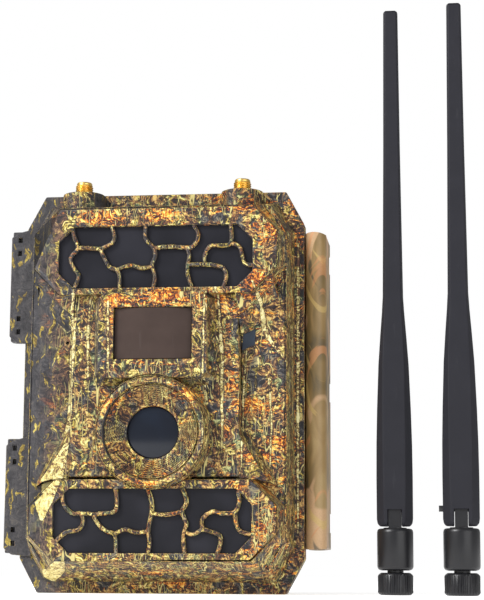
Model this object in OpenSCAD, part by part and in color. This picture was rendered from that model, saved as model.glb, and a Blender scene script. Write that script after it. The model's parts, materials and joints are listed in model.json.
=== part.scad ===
// Cellular trail camera with two screw-on antennas, in millimetres.
// X runs to the right as the lens sees you face it, -Y is the front, +Z is up.
// The origin is the mouth of the tripod socket in the middle of the base.

/* [Case] */
// Width of the case across its side faces
body_w = 101; // [101:1:104]
// Height of the case from its base to its top edge
body_h = 142.4; // [142:0.2:146]
// Wall thickness of the rear housing
wall = 2.6; // [2:0.1:3]
// Depth of the rear housing behind the parting plane
rear_depth = 36; // [36:1:40]
// How far the tripod socket lies behind the parting plane
parting = 16; // [15.6:0.1:16]
// Thickness of the flange round the front cover
flange_t = 4; // [3.6:0.1:4]
// Thickness of the rim round the mouth of the rear housing
rim_t = 3; // [2.8:0.1:3.4]
// How far the rear housing's sides stand in from its rim
rear_inset = 3.4; // [3:0.1:3.4]

/* [Front relief] */
// Height of the side bays above the flange
bay_h = 12; // [11.5:0.1:12.5]
// Height of the middle plateau above the flange
plateau_h = 17; // [16.5:0.1:17.2]
// Height of the LED frames above the flange
frame_h = 20; // [19.8:0.1:20.2]
// Height of the PIR frame above the flange
pir_h = 23.4; // [23:0.1:23.6]
// Height of the lens hood above the flange
hood_h = 24.4; // [24:0.1:24.4]
// Width of each LED window
led_w = 68.2; // [67:0.2:69]
// Height of each LED window
led_h = 21.8; // [21:0.2:22]
// Height of the lens axis above the base
lens_z = 54.6; // [54:0.2:55]
// Outer radius of the lens hood
hood_r = 19.5; // [19:0.1:19.6]
// Radius of the lens window
glass_r = 9; // [8.6:0.1:9.2]

/* [Hinge and latch] */
// Length of each hinge knuckle
hinge_len = 40.8; // [39:0.2:41.2]
// Radius of the hinge barrels
hinge_r = 2.8; // [2.6:0.1:2.8]
// Radius of the hinge pins
hinge_pin_r = 1.25; // [1:0.05:1.3]
// Length of the latch bar
latch_len = 112; // [110:0.2:113]
// Radius of the latch pin
latch_pin_r = 1.5; // [1.2:0.05:1.6]

/* [Antennas] */
// Radius of the threads on the antenna ports
sma_r = 3.175; // [3.1:0.005:3.2]
// Length of thread that stands clear on each port
sma_len = 4.6; // [4.4:0.1:5]
// Height of an upright antenna
antenna_len = 209.5; // [200:0.5:212]
// Radius of the antenna's barrel
barrel_r = 6.25; // [6:0.05:6.3]
// Height of the tilt pin above the nut's end
tilt_z = 29.4; // [29.2:0.1:29.6]
// Radius of the tilt pins
tilt_pin_r = 1.05; // [0.9:0.05:1.1]

/* [Batteries] */
// Radius of an AA cell
cell_r = 7.25; // [7:0.05:7.25]
// Length of an AA cell's can
cell_len = 49.5; // [49:0.1:49.5]

/* [Hidden] */
$fn = 48;
e = 0.01;

// Depth planes
seam_y = -parting;
cover_y = seam_y - 0.2;
flange_y = cover_y - flange_t;
back_y = seam_y + rear_depth;
function front(h) = flange_y - h;
half_w = body_w / 2;

// Octagon corners of the case
corner_x = 6.5;
corner_z = 12;
rim = 5;
rear_drop = 1.5;
seal_w = 2;

// LED windows
led_z = [24.6, 115.8];
led_corner = 5.4;
pane_h = 18.4;
pane_t = 1.5;
vein_w = 1.6;
vein_joint = vein_w * 1.12;

// Lens glass and the seat of its hood
glass_h = 17.2;
glass_t = 1.4;
seat_h = 18.6;

// Microphone port in the left bay, and the seat of the daylight sensor in the right one
mic_at = [-32.1, 86.8];
light_seat = 11.1;

// Infra-red LEDs
led_pitch = 6;
led_r = 2.5;

// Hinge
hinge_x = -half_w - 0.1 - hinge_r;
hinge_z = [34, 109.5];
middle_knuckle = 21;
knuckle_gap = 0.3;

// Latch
latch_r = 3.75;
latch_x = half_w + 0.2 + latch_r;
latch_y = 1;
latch_nose_y = -17.4;
latch_z = 15.4;
lug_z = [22, 69, 116];
lug_t = 6;
lug_r = 3;

// Antenna ports
port_x = 28.75;
port_y = -25.1;
boss_r = 7.5;
boss_z = 141.4;

// Inner panel on the back of the door
panel_w = 88;
panel_y = -10;
panel_t = 2;
key_r = 3;
key_z = 66;
key_pitch = 8.6;
key_x = 18;
lcd_z = 104;
lcd_w = 52;
lcd_h = 40;
card_z = 22;
sd_x = -16;
sim_x = 14;
board_y = -18;
board_t = 1.6;

// Batteries
cell_rows = [17.5, 72.5];
cell_pitch = 14.7;
cell_y = 8.6;
tray_x = 43.7;
// Cross shelves of the tray: [lower face, thickness]
tray_shelves = [[cell_rows[0] - 5, 2.4], [cell_rows[1] - 3.4, 0.8], [cell_rows[1] + 51.6, 2.4]];
spring_pin_x = [-39.5, -36];
spring_pin_z = 13.7;

// Power jack
jack_at = [28, 4];
jack_r = 4.6;

// Antennas: [x, y] of each one as it stands beside the case
antenna_at = [[81.7, -17], [104.5, -23]];
nut_len = 7.7;
barrel_top = 22.7;
tongue_r = 3.6;

// A sheet between two depth planes, cut to the outline of its children in X and Z
module sheet(y0, y1) {
    translate([0, y1, 0])
        rotate([90, 0, 0])
            linear_extrude(y1 - y0)
                children();
}

// A round bar along Y between two depth planes
module round_y(x, z, r, y0, y1) {
    translate([x, y1, z])
        rotate([90, 0, 0])
            cylinder(r = r, h = y1 - y0);
}

// A round bar along X
module round_x(x0, x1, y, z, r) {
    translate([x0, y, z])
        rotate([0, 90, 0])
            cylinder(r = r, h = x1 - x0);
}

// An outline with straight sides and cut corners
module octagon(w, z0, z1, cx, cz) {
    polygon([
        [-w / 2 + cx, z0], [w / 2 - cx, z0], [w / 2, z0 + cz], [w / 2, z1 - cz],
        [w / 2 - cx, z1], [-w / 2 + cx, z1], [-w / 2, z1 - cz], [-w / 2, z0 + cz]]);
}

// The case outline, taken in by a margin on every side
module case_outline(margin) {
    octagon(body_w - 2 * margin, margin, body_h - margin, corner_x - margin * 0.3, corner_z - margin * 0.3);
}

// The rear housing behind its rim, taken in by a margin on every side
module rear_outline(margin) {
    octagon(body_w - 2 * (rear_inset + margin), margin, body_h - rear_drop - margin,
        corner_x - margin * 0.3, corner_z - margin * 0.3);
}

// An LED window's outline, grown by a margin
module led_outline(z, grow) {
    octagon(led_w + 2 * grow, z - led_h / 2 - grow, z + led_h / 2 + grow, led_corner, led_corner);
}

// ---------- Rear housing ----------

module rear_housing() {
    color("#4c4a3e")
        difference() {
            union() {
                sheet(seam_y, seam_y + rim_t) case_outline(0);
                sheet(seam_y, back_y) rear_outline(0);
                for (z = hinge_z) {
                    middle_knuckle(z);
                }
                for (z = lug_z) {
                    latch_lug(z);
                }
            }
            difference() {
                sheet(seam_y - e, back_y - wall) rear_outline(wall);
                rim_band();
                cylinder(r = 7, h = 12);
                translate([jack_at[0], jack_at[1], 0]) cylinder(r = 6, h = 11.5);
            }
            seal_groove();
            translate([0, 0, -e]) cylinder(r = 5, h = 9 + e);
            translate([jack_at[0], jack_at[1], -e]) cylinder(r = jack_r, h = 14);
            for (z = hinge_z) {
                translate([hinge_x, seam_y, z - middle_knuckle / 2 - 1])
                    cylinder(r = hinge_pin_r + 0.01, h = middle_knuckle + 2);
            }
            translate([latch_x, latch_y, 0])
                cylinder(r = latch_pin_r + 0.01, h = body_h);
            for (p = bracket_holes) {
                round_y(p[0], p[1], 1.25, back_y - wall - e, back_y + e);
            }
        }
}

// Band inside the mouth of the housing that carries the seal
module rim_band() {
    difference() {
        sheet(seam_y - 1, seam_y + rim_t) case_outline(wall - 1);
        sheet(seam_y - 2, seam_y + rim_t + 1) case_outline(rim);
    }
}

module seal_groove() {
    difference() {
        sheet(seam_y - e, seam_y + 1.8) case_outline(1.5);
        sheet(seam_y - 1, seam_y + 3) case_outline(1.5 + seal_w);
    }
}

module door_seal() {
    color("#202022")
        difference() {
            sheet(seam_y - 0.15, seam_y + 1.8) case_outline(1.5);
            sheet(seam_y - 1, seam_y + 3) case_outline(1.5 + seal_w);
        }
}

// The housing's share of a hinge: one barrel and the web that carries it
module middle_knuckle(z) {
    translate([hinge_x, seam_y, z - middle_knuckle / 2]) {
        cylinder(r = hinge_r, h = middle_knuckle);
        cube([hinge_r + 1, hinge_r, middle_knuckle]);
    }
}

module latch_lug(z) {
    root_x = half_w - rear_inset - 1;
    translate([latch_x, latch_y, z]) cylinder(r = lug_r, h = lug_t);
    translate([root_x, latch_y - lug_r, z]) cube([latch_x - root_x, 2 * lug_r, lug_t]);
}

module hinge_pins() {
    color("#b9babd")
        for (z = hinge_z) {
            translate([hinge_x, seam_y, z - hinge_len / 2 + 1])
                cylinder(r = hinge_pin_r, h = hinge_len - 2);
        }
}

module latch_pin() {
    color("#b9babd")
        translate([latch_x, latch_y, latch_z + 2])
            cylinder(r = latch_pin_r, h = latch_len - 4);
}

// ---------- Batteries ----------

function cell_x(i) = (i - 2.5) * cell_pitch;

module battery_tray() {
    color("#26272a")
        difference() {
            translate([-tray_x, cell_y + 1.5, cell_rows[0] - 5])
                cube([2 * tray_x, back_y - wall - cell_y - 1.5, cell_rows[1] + 54 - cell_rows[0] + 5]);
            for (i = [0:5]) {
                for (z = cell_rows) {
                    translate([cell_x(i), cell_y, z - 2.4]) cylinder(r = cell_r + 0.15, h = 53.6);
                }
            }
        }
    color("#26272a")
        for (shelf = tray_shelves) {
            translate([-tray_x, cell_y - 5.6, shelf[0]]) cube([2 * tray_x, 7, shelf[1]]);
        }
}

module aa_cells() {
    color("#3a6f8f")
        for (i = [0:5]) {
            for (z = cell_rows) {
                translate([cell_x(i), cell_y, z]) {
                    cylinder(r = cell_r, h = cell_len);
                    cylinder(r = 2.7, h = cell_len + 1);
                }
            }
        }
}

// Conical springs under the flat end of each cell, as turned cones of the wire's thickness
module contact_springs() {
    color("#c9c9c4")
        for (i = [0:5]) {
            for (z = cell_rows) {
                translate([cell_x(i), cell_y, z - 2])
                    rotate_extrude()
                        polygon([[3.6, 0], [4.2, 0], [2.4, 1.9], [1.8, 1.9]]);
            }
        }
}

module contact_plates() {
    color("#c9c9c4")
        for (i = [0:5]) {
            for (z = cell_rows) {
                translate([cell_x(i) - 4, cell_y - 4, z + cell_len + 1.1]) cube([8, 8, 0.4]);
                translate([cell_x(i) - 4, cell_y - 4, z - 2.4]) cube([8, 8, 0.35]);
            }
        }
    color("#c9c9c4")
        for (x = spring_pin_x) {
            translate([x - 1.4, cell_y - 5.9, spring_pin_z - 1.1]) cube([2.8, 0.3, 2.2]);
        }
}

// Spring-loaded pins on the door that meet the tray's pads when it is shut
module spring_pins() {
    color("#d6a028")
        for (x = spring_pin_x) {
            round_y(x, spring_pin_z, 0.9, panel_y, cell_y - 6.6);
            round_y(x, spring_pin_z, 0.6, cell_y - 6.7, cell_y - 5.92);
        }
}

// ---------- Tree bracket ----------

bracket_holes = [[-30, 46], [30, 46], [-30, 104], [30, 104]];
bridge_z = 52;
bridge_len = 38;
strap_gap = 4.8;

module tree_bracket() {
    color("#2b2c2e")
        difference() {
            union() {
                sheet(back_y, back_y + 3)
                    octagon(74, 38, 112, 8, 8);
                for (x = [-27, 27]) {
                    strap_bridge(x);
                }
                translate([-3, back_y + 2, 88]) cube([6, 11, 14]);
                round_x(-3, 3, back_y + 9, 95, 6);
            }
            for (p = bracket_holes) {
                round_y(p[0], p[1], 1.6, back_y - 1, back_y + 4);
                round_y(p[0], p[1], 2.8, back_y + 1.6, back_y + 4);
            }
            round_x(-4, 4, back_y + 9, 95, 4);
        }
}

// A bar that the strap passes behind, with a row of teeth that bite the bark
module strap_bridge(x) {
    difference() {
        translate([x - 4, back_y + 2, bridge_z]) cube([8, strap_gap + 5, bridge_len]);
        translate([x - 5, back_y + 3, bridge_z + 4]) cube([10, strap_gap, bridge_len - 8]);
    }
    for (k = [0:4]) {
        translate([x - 4, back_y + strap_gap + 6.6, bridge_z + 3 + k * 7])
            rotate([45, 0, 0])
                cube([8, 2.4, 2.4]);
    }
}

module bracket_screws() {
    color("#9a9ca0")
        for (p = bracket_holes) {
            round_y(p[0], p[1], 1.2, back_y - wall + 0.1, back_y + 1.7);
            difference() {
                round_y(p[0], p[1], 2.6, back_y + 1.6, back_y + 2.9);
                sheet(back_y + 2.2, back_y + 3)
                    translate([p[0], p[1]]) {
                        square([3, 0.7], center = true);
                        square([0.7, 3], center = true);
                    }
            }
        }
}

module tripod_insert() {
    color("#b08d3c")
        difference() {
            cylinder(r = 5, h = 9);
            translate([0, 0, -e]) cylinder(r = 3.2, h = 8 + e);
        }
}

module power_jack() {
    color("#1b1b1d")
        translate([jack_at[0], jack_at[1], 3])
            difference() {
                cylinder(r = jack_r, h = 9);
                translate([0, 0, -e]) cylinder(r = 2.9, h = 7.5);
            }
    color("#c9c9c4")
        translate([jack_at[0], jack_at[1], 4])
            cylinder(r = 1, h = 7);
}

// Rubber plug that seals the mouth of the power jack
module jack_plug() {
    color("#242426")
        translate([jack_at[0], jack_at[1], 0])
            difference() {
                union() {
                    translate([0, 0, 0.3]) cylinder(r = jack_r - 0.1, h = 2.6);
                    translate([0, 0, 2.8]) cylinder(r = 2.7, h = 4);
                }
                translate([-1.8, -0.5, 0]) cube([3.6, 1, 1]);
                translate([0, 0, 2.9]) cylinder(r = 1.4, h = 5);
            }
}

// ---------- Latch ----------

module latch_section() {
    difference() {
        union() {
            translate([latch_x, latch_y]) circle(r = latch_r);
            translate([latch_x, latch_nose_y]) circle(r = latch_r);
            translate([latch_x - latch_r, latch_nose_y]) square([2 * latch_r, latch_y - latch_nose_y]);
        }
        translate([latch_x - latch_r - 1, latch_nose_y + 1.2])
            square([latch_r + 3, latch_y - latch_nose_y - latch_r - 2]);
    }
}

module latch_bar() {
    color("#9a8562")
        difference() {
            intersection() {
                translate([0, 0, latch_z]) linear_extrude(latch_len) latch_section();
                latch_front();
            }
            for (z = lug_z) {
                translate([latch_x - 7, latch_y - latch_r, z - 0.4]) cube([14, 12, lug_t + 0.8]);
            }
            translate([latch_x, latch_y, 0]) cylinder(r = latch_pin_r + 0.05, h = body_h);
        }
}

// Front outline of the latch bar, with gently domed ends
module latch_front() {
    dome_r = 14;
    sheet(-40, 20) {
        translate([latch_x - 6, latch_z + 1]) square([12, latch_len - 2.5]);
        intersection() {
            translate([latch_x - 1, latch_z + latch_len - dome_r]) circle(r = dome_r);
            translate([latch_x - 6, latch_z + latch_len - 4]) square([12, 4]);
        }
        intersection() {
            translate([latch_x - 1, latch_z + 40]) circle(r = 40);
            translate([latch_x - 6, latch_z]) square([12, 4]);
        }
    }
}

// ---------- Front cover ----------

module front_cover() {
    color("#6a6144")
        difference() {
            union() {
                sheet(flange_y, cover_y) case_outline(0);
                raised_panel();
                sheet(front(plateau_h), front(2)) plateau_outline();
                sheet(front(frame_h), front(2)) octagon(86, 102.6, 133.6, 9, 9);
                sheet(front(frame_h), front(2)) octagon(86, 10.8, 38.6, 9, 9);
                sheet(front(pir_h), front(2)) octagon(38, 73, 102.8, 2, 2);
                round_y(0, lens_z, hood_r - 0.3, front(seat_h), front(2));
                for (x = [-port_x, port_x]) {
                    translate([x, port_y, 128]) cylinder(r = boss_r, h = boss_z - 128);
                    translate([x - boss_r, port_y, 128]) cube([2 * boss_r, cover_y - port_y - 3, boss_z - 128]);
                }
                for (z = hinge_z) {
                    hinge_plate(z);
                }
                for (p = panel_holes) {
                    round_y(p[0], p[1], 2.1, front(4), panel_y - panel_t);
                }
            }
            difference() {
                cover_cavity();
                for (p = panel_holes) {
                    round_y(p[0], p[1], 2.1, front(17), panel_y);
                }
            }
            cover_openings();
            for (p = panel_holes) {
                round_y(p[0], p[1], 1.12, front(6), panel_y);
            }
            for (z = hinge_z) {
                hinge_cuts(z);
            }
        }
}

// Sloping block that stands on the flange
module raised_panel() {
    hull() {
        sheet(flange_y - 0.1, flange_y + 0.1) octagon(94, 4, 138.2, 6, 11);
        sheet(front(bay_h), front(bay_h - 0.1)) octagon(90.6, 8.2, 135.4, 6, 11);
    }
}

// Middle plateau: a waist that flares to the corners at both ends
module plateau_outline() {
    polygon([
        [-38.5, 39.5], [38.5, 39.5], [29.5, 54], [29.5, 89.7], [43, 104], [41, 110],
        [-41, 110], [-43, 104], [-29.5, 89.7], [-29.5, 54]]);
}

module cover_cavity() {
    sheet(front(8.6), cover_y + 1) octagon(86.8, 8.6, 132, 6, 10);
    sheet(front(16.2), cover_y) octagon(78, 104, 129, 7, 7);
    sheet(front(16.2), cover_y) octagon(78, 13, 36.4, 7, 7);
    sheet(front(14.4), cover_y) octagon(53, 36, 105, 1, 1);
}

module cover_openings() {
    for (z = led_z) {
        sheet(front(frame_h + 1), front(10)) led_outline(z, 0);
        sheet(front(pane_h), front(10)) led_outline(z, 1.5);
    }
    sheet(front(pir_h + 1), front(10)) translate([-13.7, 79.4]) square([27.4, 18.2]);
    round_y(0, lens_z, glass_r - 1, front(26), front(10));
    round_y(0, lens_z, glass_r + 0.05, front(26), front(glass_h));
    round_y(0, lens_z, hood_r + 0.05, front(26), front(seat_h));
    round_y(mic_at[0], mic_at[1], 0.6, front(20), front(5));
    sheet(front(14), front(light_seat)) light_outline();
    for (x = [-port_x, port_x]) {
        translate([x, port_y, 120]) cylinder(r = sma_r, h = 30);
    }
}

// The door's share of a hinge: two end barrels behind one cover plate
module hinge_plate(z) {
    sheet(flange_y - 1, seam_y - hinge_r - 0.3)
        polygon([
            [hinge_x - hinge_r, z - hinge_len / 2 + 1.8], [hinge_x, z - hinge_len / 2 - 0.4],
            [-46, z - hinge_len / 2 - 1], [-46, z + hinge_len / 2 + 1], [hinge_x, z + hinge_len / 2 - 0.8],
            [hinge_x - hinge_r, z + hinge_len / 2 - 2.6]]);
    end_len = (hinge_len - middle_knuckle) / 2 - knuckle_gap;
    for (z0 = [z - hinge_len / 2 + 0.2, z + hinge_len / 2 - 0.2 - end_len]) {
        translate([hinge_x, seam_y, z0]) cylinder(r = hinge_r, h = end_len);
        translate([hinge_x - hinge_r, seam_y - hinge_r - 0.4, z0]) cube([2 * hinge_r, hinge_r + 0.4, end_len]);
        translate([hinge_x, seam_y - hinge_r - 0.4, z0]) cube([hinge_r + 1, hinge_r + 0.2, end_len]);
    }
}

module hinge_cuts(z) {
    translate([hinge_x, seam_y, z - hinge_len / 2 - 1]) cylinder(r = hinge_pin_r + 0.05, h = hinge_len + 2);
    for (dz = [-16.8, -12, 12, 16.8]) {
        translate([hinge_x - 0.3, flange_y - 2, z + dz - 0.9]) cube([1.4, 3.2, 1.8]);
    }
}

// One vein of a cracked-mud grille, as a chain of bars through its points
module vein(points) {
    for (i = [0:len(points) - 2]) {
        step = points[i + 1] - points[i];
        translate(points[i]) {
            circle(d = vein_joint, $fn = 10);
            rotate(atan2(step[1], step[0]))
                translate([0, -vein_w / 2]) square([norm(step), vein_w]);
        }
    }
    translate(points[len(points) - 1]) circle(d = vein_joint, $fn = 10);
}

// Veins from the middle of a window, [x, z]; both windows share the middle ones
upper_veins = [
    [[-29.5, 11], [-29, 8], [-27.5, 3.5], [-29.5, 1], [-30, -1], [-28.5, -4], [-27, -6.5], [-28.5, -11]],
    [[-27.5, 3.5], [-24, 3.5], [-19, 3]],
    [[-15.5, 11], [-14.5, 7.5], [-15.5, 5], [-19, 3], [-18, 0], [-16, -3.5], [-13.5, -4.5], [-12.5, -6.5], [-12.5, -11]],
    [[-13.5, -4.5], [-9, -3], [-4.5, -4], [-1, -3.5]],
    [[-3.5, 11], [-3.5, 6.5], [-0.5, 3], [0, 0], [-1, -3], [0, -7], [-0.5, -11]],
    [[-0.5, 3], [5, 3.5], [11, 3], [12.5, 3], [14.5, 5], [15, 8], [13.5, 11]],
    [[11, 3], [12, 0.5], [11.5, -3], [11.5, -6.5], [13, -11]],
    [[11.5, -3], [17.5, -3], [21, -3.5], [24, -4.5], [25, -7.5], [24, -11]],
    [[17.5, -3], [17.5, 0.5], [19.5, 3.5], [23, 3.5], [26.5, 4.5], [26.5, 11]],
    [[26.5, 4.5], [29.5, 3], [30.5, 0], [31.5, -3], [34.5, -3.5]]];
lower_veins = [
    [[-31, 11], [-30.5, 5.5], [-27.5, 2.5], [-24.5, 2.5], [-19.5, 2]],
    [[-24.5, 2.5], [-23.5, 0], [-25, -3], [-29.5, -4], [-33, -7]],
    [[-12.5, 11], [-12, 6], [-13, 3], [-19.5, 2], [-18, -1.5], [-15.5, -3.5], [-12.5, -5], [-12, -11]],
    [[-12.5, -4.5], [-9, -3], [-5, -4], [-1, -3.5]],
    [[-1.5, 11], [0, 6.5], [0, 2.5], [-1, -3], [-0.5, -7], [-1, -11]],
    [[0.5, 2.5], [5, 2], [10.5, 3]],
    [[10.5, 11], [12, 6.5], [10.5, 3], [12, -1], [11, -5], [11.5, -11]],
    [[12, -4], [14.5, -4.5], [17.5, -3], [20, -3.5], [23.5, -5], [23.5, -8.5], [22.5, -11]],
    [[17.5, -3], [17.5, 0.5], [20.5, 3], [24.5, 2.5], [28.5, 3], [30, 6.5], [29, 11]],
    [[28.5, 3], [29, -1], [30.5, -3.5], [34, -4.5]]];

module led_grille(z, veins) {
    color("#6a6144")
        sheet(front(frame_h - 0.1), front(pane_h + 0.1))
            difference() {
                intersection() {
                    translate([0, z])
                        for (points = veins) {
                            vein(points);
                        }
                    led_outline(z, 0);
                }
                translate([0, lens_z]) circle(r = hood_r + 0.1);
            }
}

module led_grille_upper() {
    led_grille(led_z[1], upper_veins);
}

module led_grille_lower() {
    led_grille(led_z[0], lower_veins);
}

module led_pane(z) {
    color("#17171b")
        sheet(front(pane_h), front(pane_h - pane_t)) led_outline(z, 1.4);
}

module led_pane_upper() {
    led_pane(led_z[1]);
}

module led_pane_lower() {
    led_pane(led_z[0]);
}

module led_boards() {
    color("#1f5c3a")
        for (z = led_z) {
            sheet(front(10.8), front(9.4)) octagon(72, z - 10.8, z + 10.8, 5, 5);
        }
}

// Infra-red LEDs: three staggered rows behind each pane
module ir_leds() {
    color("#23233a")
        for (z = led_z) {
            for (row = [-1:1]) {
                for (i = [-4.5:4.5]) {
                    led(i * led_pitch + 1.5 * row, z + row * 6.4);
                }
            }
        }
}

module led(x, z) {
    round_y(x, z, led_r, front(14), front(10.8));
    translate([x, front(14), z]) sphere(r = led_r - 0.05, $fn = 24);
}

// Curved Fresnel window over the motion sensor
module pir_window() {
    bow_r = 60;
    color("#463e39")
        intersection() {
            translate([-13.6, front(pir_h), 79.5]) cube([27.2, 12, 18]);
            difference() {
                translate([0, front(pir_h - 0.3) + bow_r, 79]) cylinder(r = bow_r, h = 19, $fn = 120);
                translate([0, front(pir_h - 0.3) + bow_r, 78]) cylinder(r = bow_r - 1.2, h = 21, $fn = 120);
            }
        }
}

module pir_sensor() {
    color("#c2b9a0")
        round_y(0, 88.4, 4.6, front(13.2), front(9));
    color("#2a2a2c")
        round_y(0, 88.4, 5.4, front(9), front(8));
    color("#b9babd")
        for (a = [0, 120, 240]) {
            round_y(2.5 * cos(a), 88.4 + 2.5 * sin(a), 0.25, front(8), board_y - 0.01);
        }
}

// Round hood with a stepped cone inside and a flat seat for the glass
module lens_hood() {
    color("#6a6144")
        translate([0, flange_y, lens_z])
            rotate([90, 0, 0])
                rotate_extrude($fn = 96)
                    polygon([
                        [glass_r + 0.1, 18.7], [hood_r, 18.7], [hood_r, hood_h - 1.2], [hood_r - 1, hood_h - 0.4],
                        [hood_r - 2, hood_h], [hood_r - 3, hood_h - 0.1], [hood_r - 3.4, hood_h - 1],
                        [glass_r + 2.5, 20.4], [glass_r + 0.1, 20.2]]);
}

module lens_window() {
    color("#10141c")
        round_y(0, lens_z, glass_r, front(glass_h + glass_t), front(glass_h));
}

module lens_barrel() {
    color("#141416")
        translate([0, flange_y, lens_z])
            rotate([90, 0, 0])
                rotate_extrude($fn = 64)
                    polygon([
                        [3.2, 5], [8, 5], [8, 9], [7, 9.4], [7, 15.6], [6, 16.6], [4.2, 16.6], [3.2, 13.5]]);
    color("#1c2a44")
        round_y(0, lens_z, 3.9, front(15.8), front(14.4));
    color("#141416")
        for (dz = [-9.5, 9.5]) {
            round_y(0, lens_z + dz, 1.8, front(8), front(1.2));
            translate([-1.2, front(8), lens_z + (dz > 0 ? 7 : -10.5)]) cube([2.4, 2, 3.5]);
        }
}

module image_sensor() {
    color("#1f5c3a")
        sheet(front(1.2), front(0)) translate([-13, lens_z - 12]) square([26, 24]);
    color("#5b6470")
        sheet(front(2.4), front(1.2)) translate([-4, lens_z - 3.2]) square([8, 6.4]);
}

// Infra-red cut filter and its carrier, which a coil shifts sideways by night
module ir_cut_filter() {
    color("#5f7f9f")
        sheet(front(4.4), front(3.4))
            translate([-5, lens_z - 4.6]) square([10, 9.2]);
    color("#1b1b1d")
        sheet(front(4.6), front(3.2)) translate([-12.2, lens_z - 2.2]) square([7.2, 4.4]);
}

// ---------- Door electronics ----------

module main_board() {
    color("#1f5c3a")
        sheet(board_y, board_y + board_t) octagon(75, 12, 128, 5, 5);
    color("#1b1b1d") {
        sheet(board_y + board_t, board_y + board_t + 1.2) translate([-16, 58]) square([14, 14]);
        sheet(board_y - 2, board_y) translate([20, 36]) square([10, 12]);
        sheet(board_y - 1.6, board_y) translate([-34, 66]) square([8, 16]);
    }
}

module modem_module() {
    color("#9fa1a5")
        sheet(board_y - 2.6, board_y - 0.01) translate([-15, 106]) square([30, 18]);
}

// Centre line of the right-hand aerial lead, from the port down to the modem
lead_route = [
    [28.7, -25.1, 129.4], [28.7, -25.1, 127], [28.4, -24.6, 124.5], [27, -23.4, 121.5], [24.5, -22, 119.5],
    [21, -20.8, 118.6], [17, -20.2, 118.2], [15.2, -20, 118]];
lead_r = 0.7;
lead_sides = 8;

function lead_dir(i) = let (
    a = lead_route[max(i - 1, 0)],
    b = lead_route[min(i + 1, len(lead_route) - 1)])
    (b - a) / norm(b - a);

function lead_ring(i) = let (
    t = lead_dir(i),
    side = cross(t, [0, 1, 0]),
    u = side / norm(side),
    v = cross(t, u))
    [for (k = [0:lead_sides - 1]) let (a = 360 * k / lead_sides)
        lead_route[i] + lead_r * (cos(a) * u + sin(a) * v)];

module lead() {
    n = len(lead_route);
    points = [for (i = [0:n - 1]) each lead_ring(i)];
    walls = [for (i = [0:n - 2]) for (k = [0:lead_sides - 1]) let (
        a = i * lead_sides + k,
        b = i * lead_sides + (k + 1) % lead_sides)
        each [[a, b, b + lead_sides], [a, b + lead_sides, a + lead_sides]]];
    ends = [
        [for (k = [lead_sides - 1:-1:0]) k],
        [for (k = [0:lead_sides - 1]) (n - 1) * lead_sides + k]];
    polyhedron(points, concat(walls, ends));
}

module coax_leads() {
    color("#2a2a2c") {
        lead();
        mirror([1, 0, 0]) lead();
    }
}

module microphone() {
    color("#b9babd")
        round_y(mic_at[0], mic_at[1], 3, front(8.5), front(5));
}

// Four-sided outline of the daylight sensor's window
module light_outline() {
    polygon([[29.6, 83.4], [34.2, 85.6], [34.4, 91], [30.2, 89.2]]);
}

module light_sensor() {
    color("#2c3038")
        sheet(front(light_seat + 0.8), front(light_seat)) light_outline();
}

module sma_jacks() {
    color("#d6a028")
        for (x = [-port_x, port_x]) {
            translate([x, port_y, 0])
                difference() {
                    union() {
                        translate([0, 0, boss_z]) cylinder(r = sma_r, h = sma_len);
                        translate([0, 0, 130.5]) cylinder(r = 3, h = boss_z - 130.5);
                        translate([0, 0, 129.5]) cylinder(r = 3, h = 1);
                    }
                    translate([0, 0, 132]) cylinder(r = 2.05, h = 20);
                }
        }
}

module sma_insulators() {
    color("#f0ede4")
        for (x = [-port_x, port_x]) {
            translate([x, port_y, 132])
                difference() {
                    cylinder(r = 2, h = boss_z + sma_len - 132.4);
                    translate([0, 0, 10]) cylinder(r = 0.65, h = 10);
                }
        }
}

panel_holes = [[-40, 20], [40, 20], [-40, 70], [40, 70], [-40, 120], [40, 120]];
key_places = [
    [key_x, key_z + key_pitch], [key_x, key_z - key_pitch], [key_x - key_pitch, key_z],
    [key_x + key_pitch, key_z], [key_x, key_z], [-2, key_z]];

// Tray-shaped cover that closes the back of the door
module inner_panel() {
    color("#2b2c2e")
        difference() {
            sheet(cover_y + 0.01, panel_y) octagon(panel_w, 6.6, 135.8, 6, 11);
            sheet(cover_y - 1, panel_y - panel_t) octagon(panel_w - 4, 8.6, 133.8, 6, 11);
            sheet(panel_y - 3, panel_y + 1)
                translate([-lcd_w / 2 + 1, lcd_z - lcd_h / 2 + 1]) square([lcd_w - 2, lcd_h - 2]);
            sheet(panel_y - 1.2, panel_y + 1)
                translate([-lcd_w / 2, lcd_z - lcd_h / 2]) square([lcd_w, lcd_h]);
            for (p = key_places) {
                round_y(p[0], p[1], key_r + 0.1, panel_y - 3, panel_y + 1);
            }
            sheet(panel_y - 3, panel_y + 1) translate([-30, key_z - 2]) square([12, 4]);
            sheet(panel_y - 3, panel_y + 1) translate([-32, 14]) square([64, 20]);
            for (p = panel_holes) {
                round_y(p[0], p[1], 1.5, panel_y - 3, panel_y + 1);
            }
        }
}

module panel_screws() {
    color("#9a9ca0")
        for (p = panel_holes) {
            round_y(p[0], p[1], 1.1, front(5), panel_y + 0.1);
            difference() {
                round_y(p[0], p[1], 2.4, panel_y + 0.01, panel_y + 1.3);
                sheet(panel_y + 0.7, panel_y + 2)
                    translate([p[0], p[1]]) {
                        square([2.8, 0.6], center = true);
                        square([0.6, 2.8], center = true);
                    }
            }
        }
}

module lcd_module() {
    color("#3a3f46")
        sheet(board_y + board_t + 0.1, panel_y - panel_t - 0.1)
            translate([-28, lcd_z - 22]) square([56, 44]);
}

module lcd_window() {
    color("#0e1114")
        sheet(panel_y - 1.2, panel_y - 0.2)
            translate([-lcd_w / 2 + 0.1, lcd_z - lcd_h / 2 + 0.1]) square([lcd_w - 0.2, lcd_h - 0.2]);
}

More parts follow.
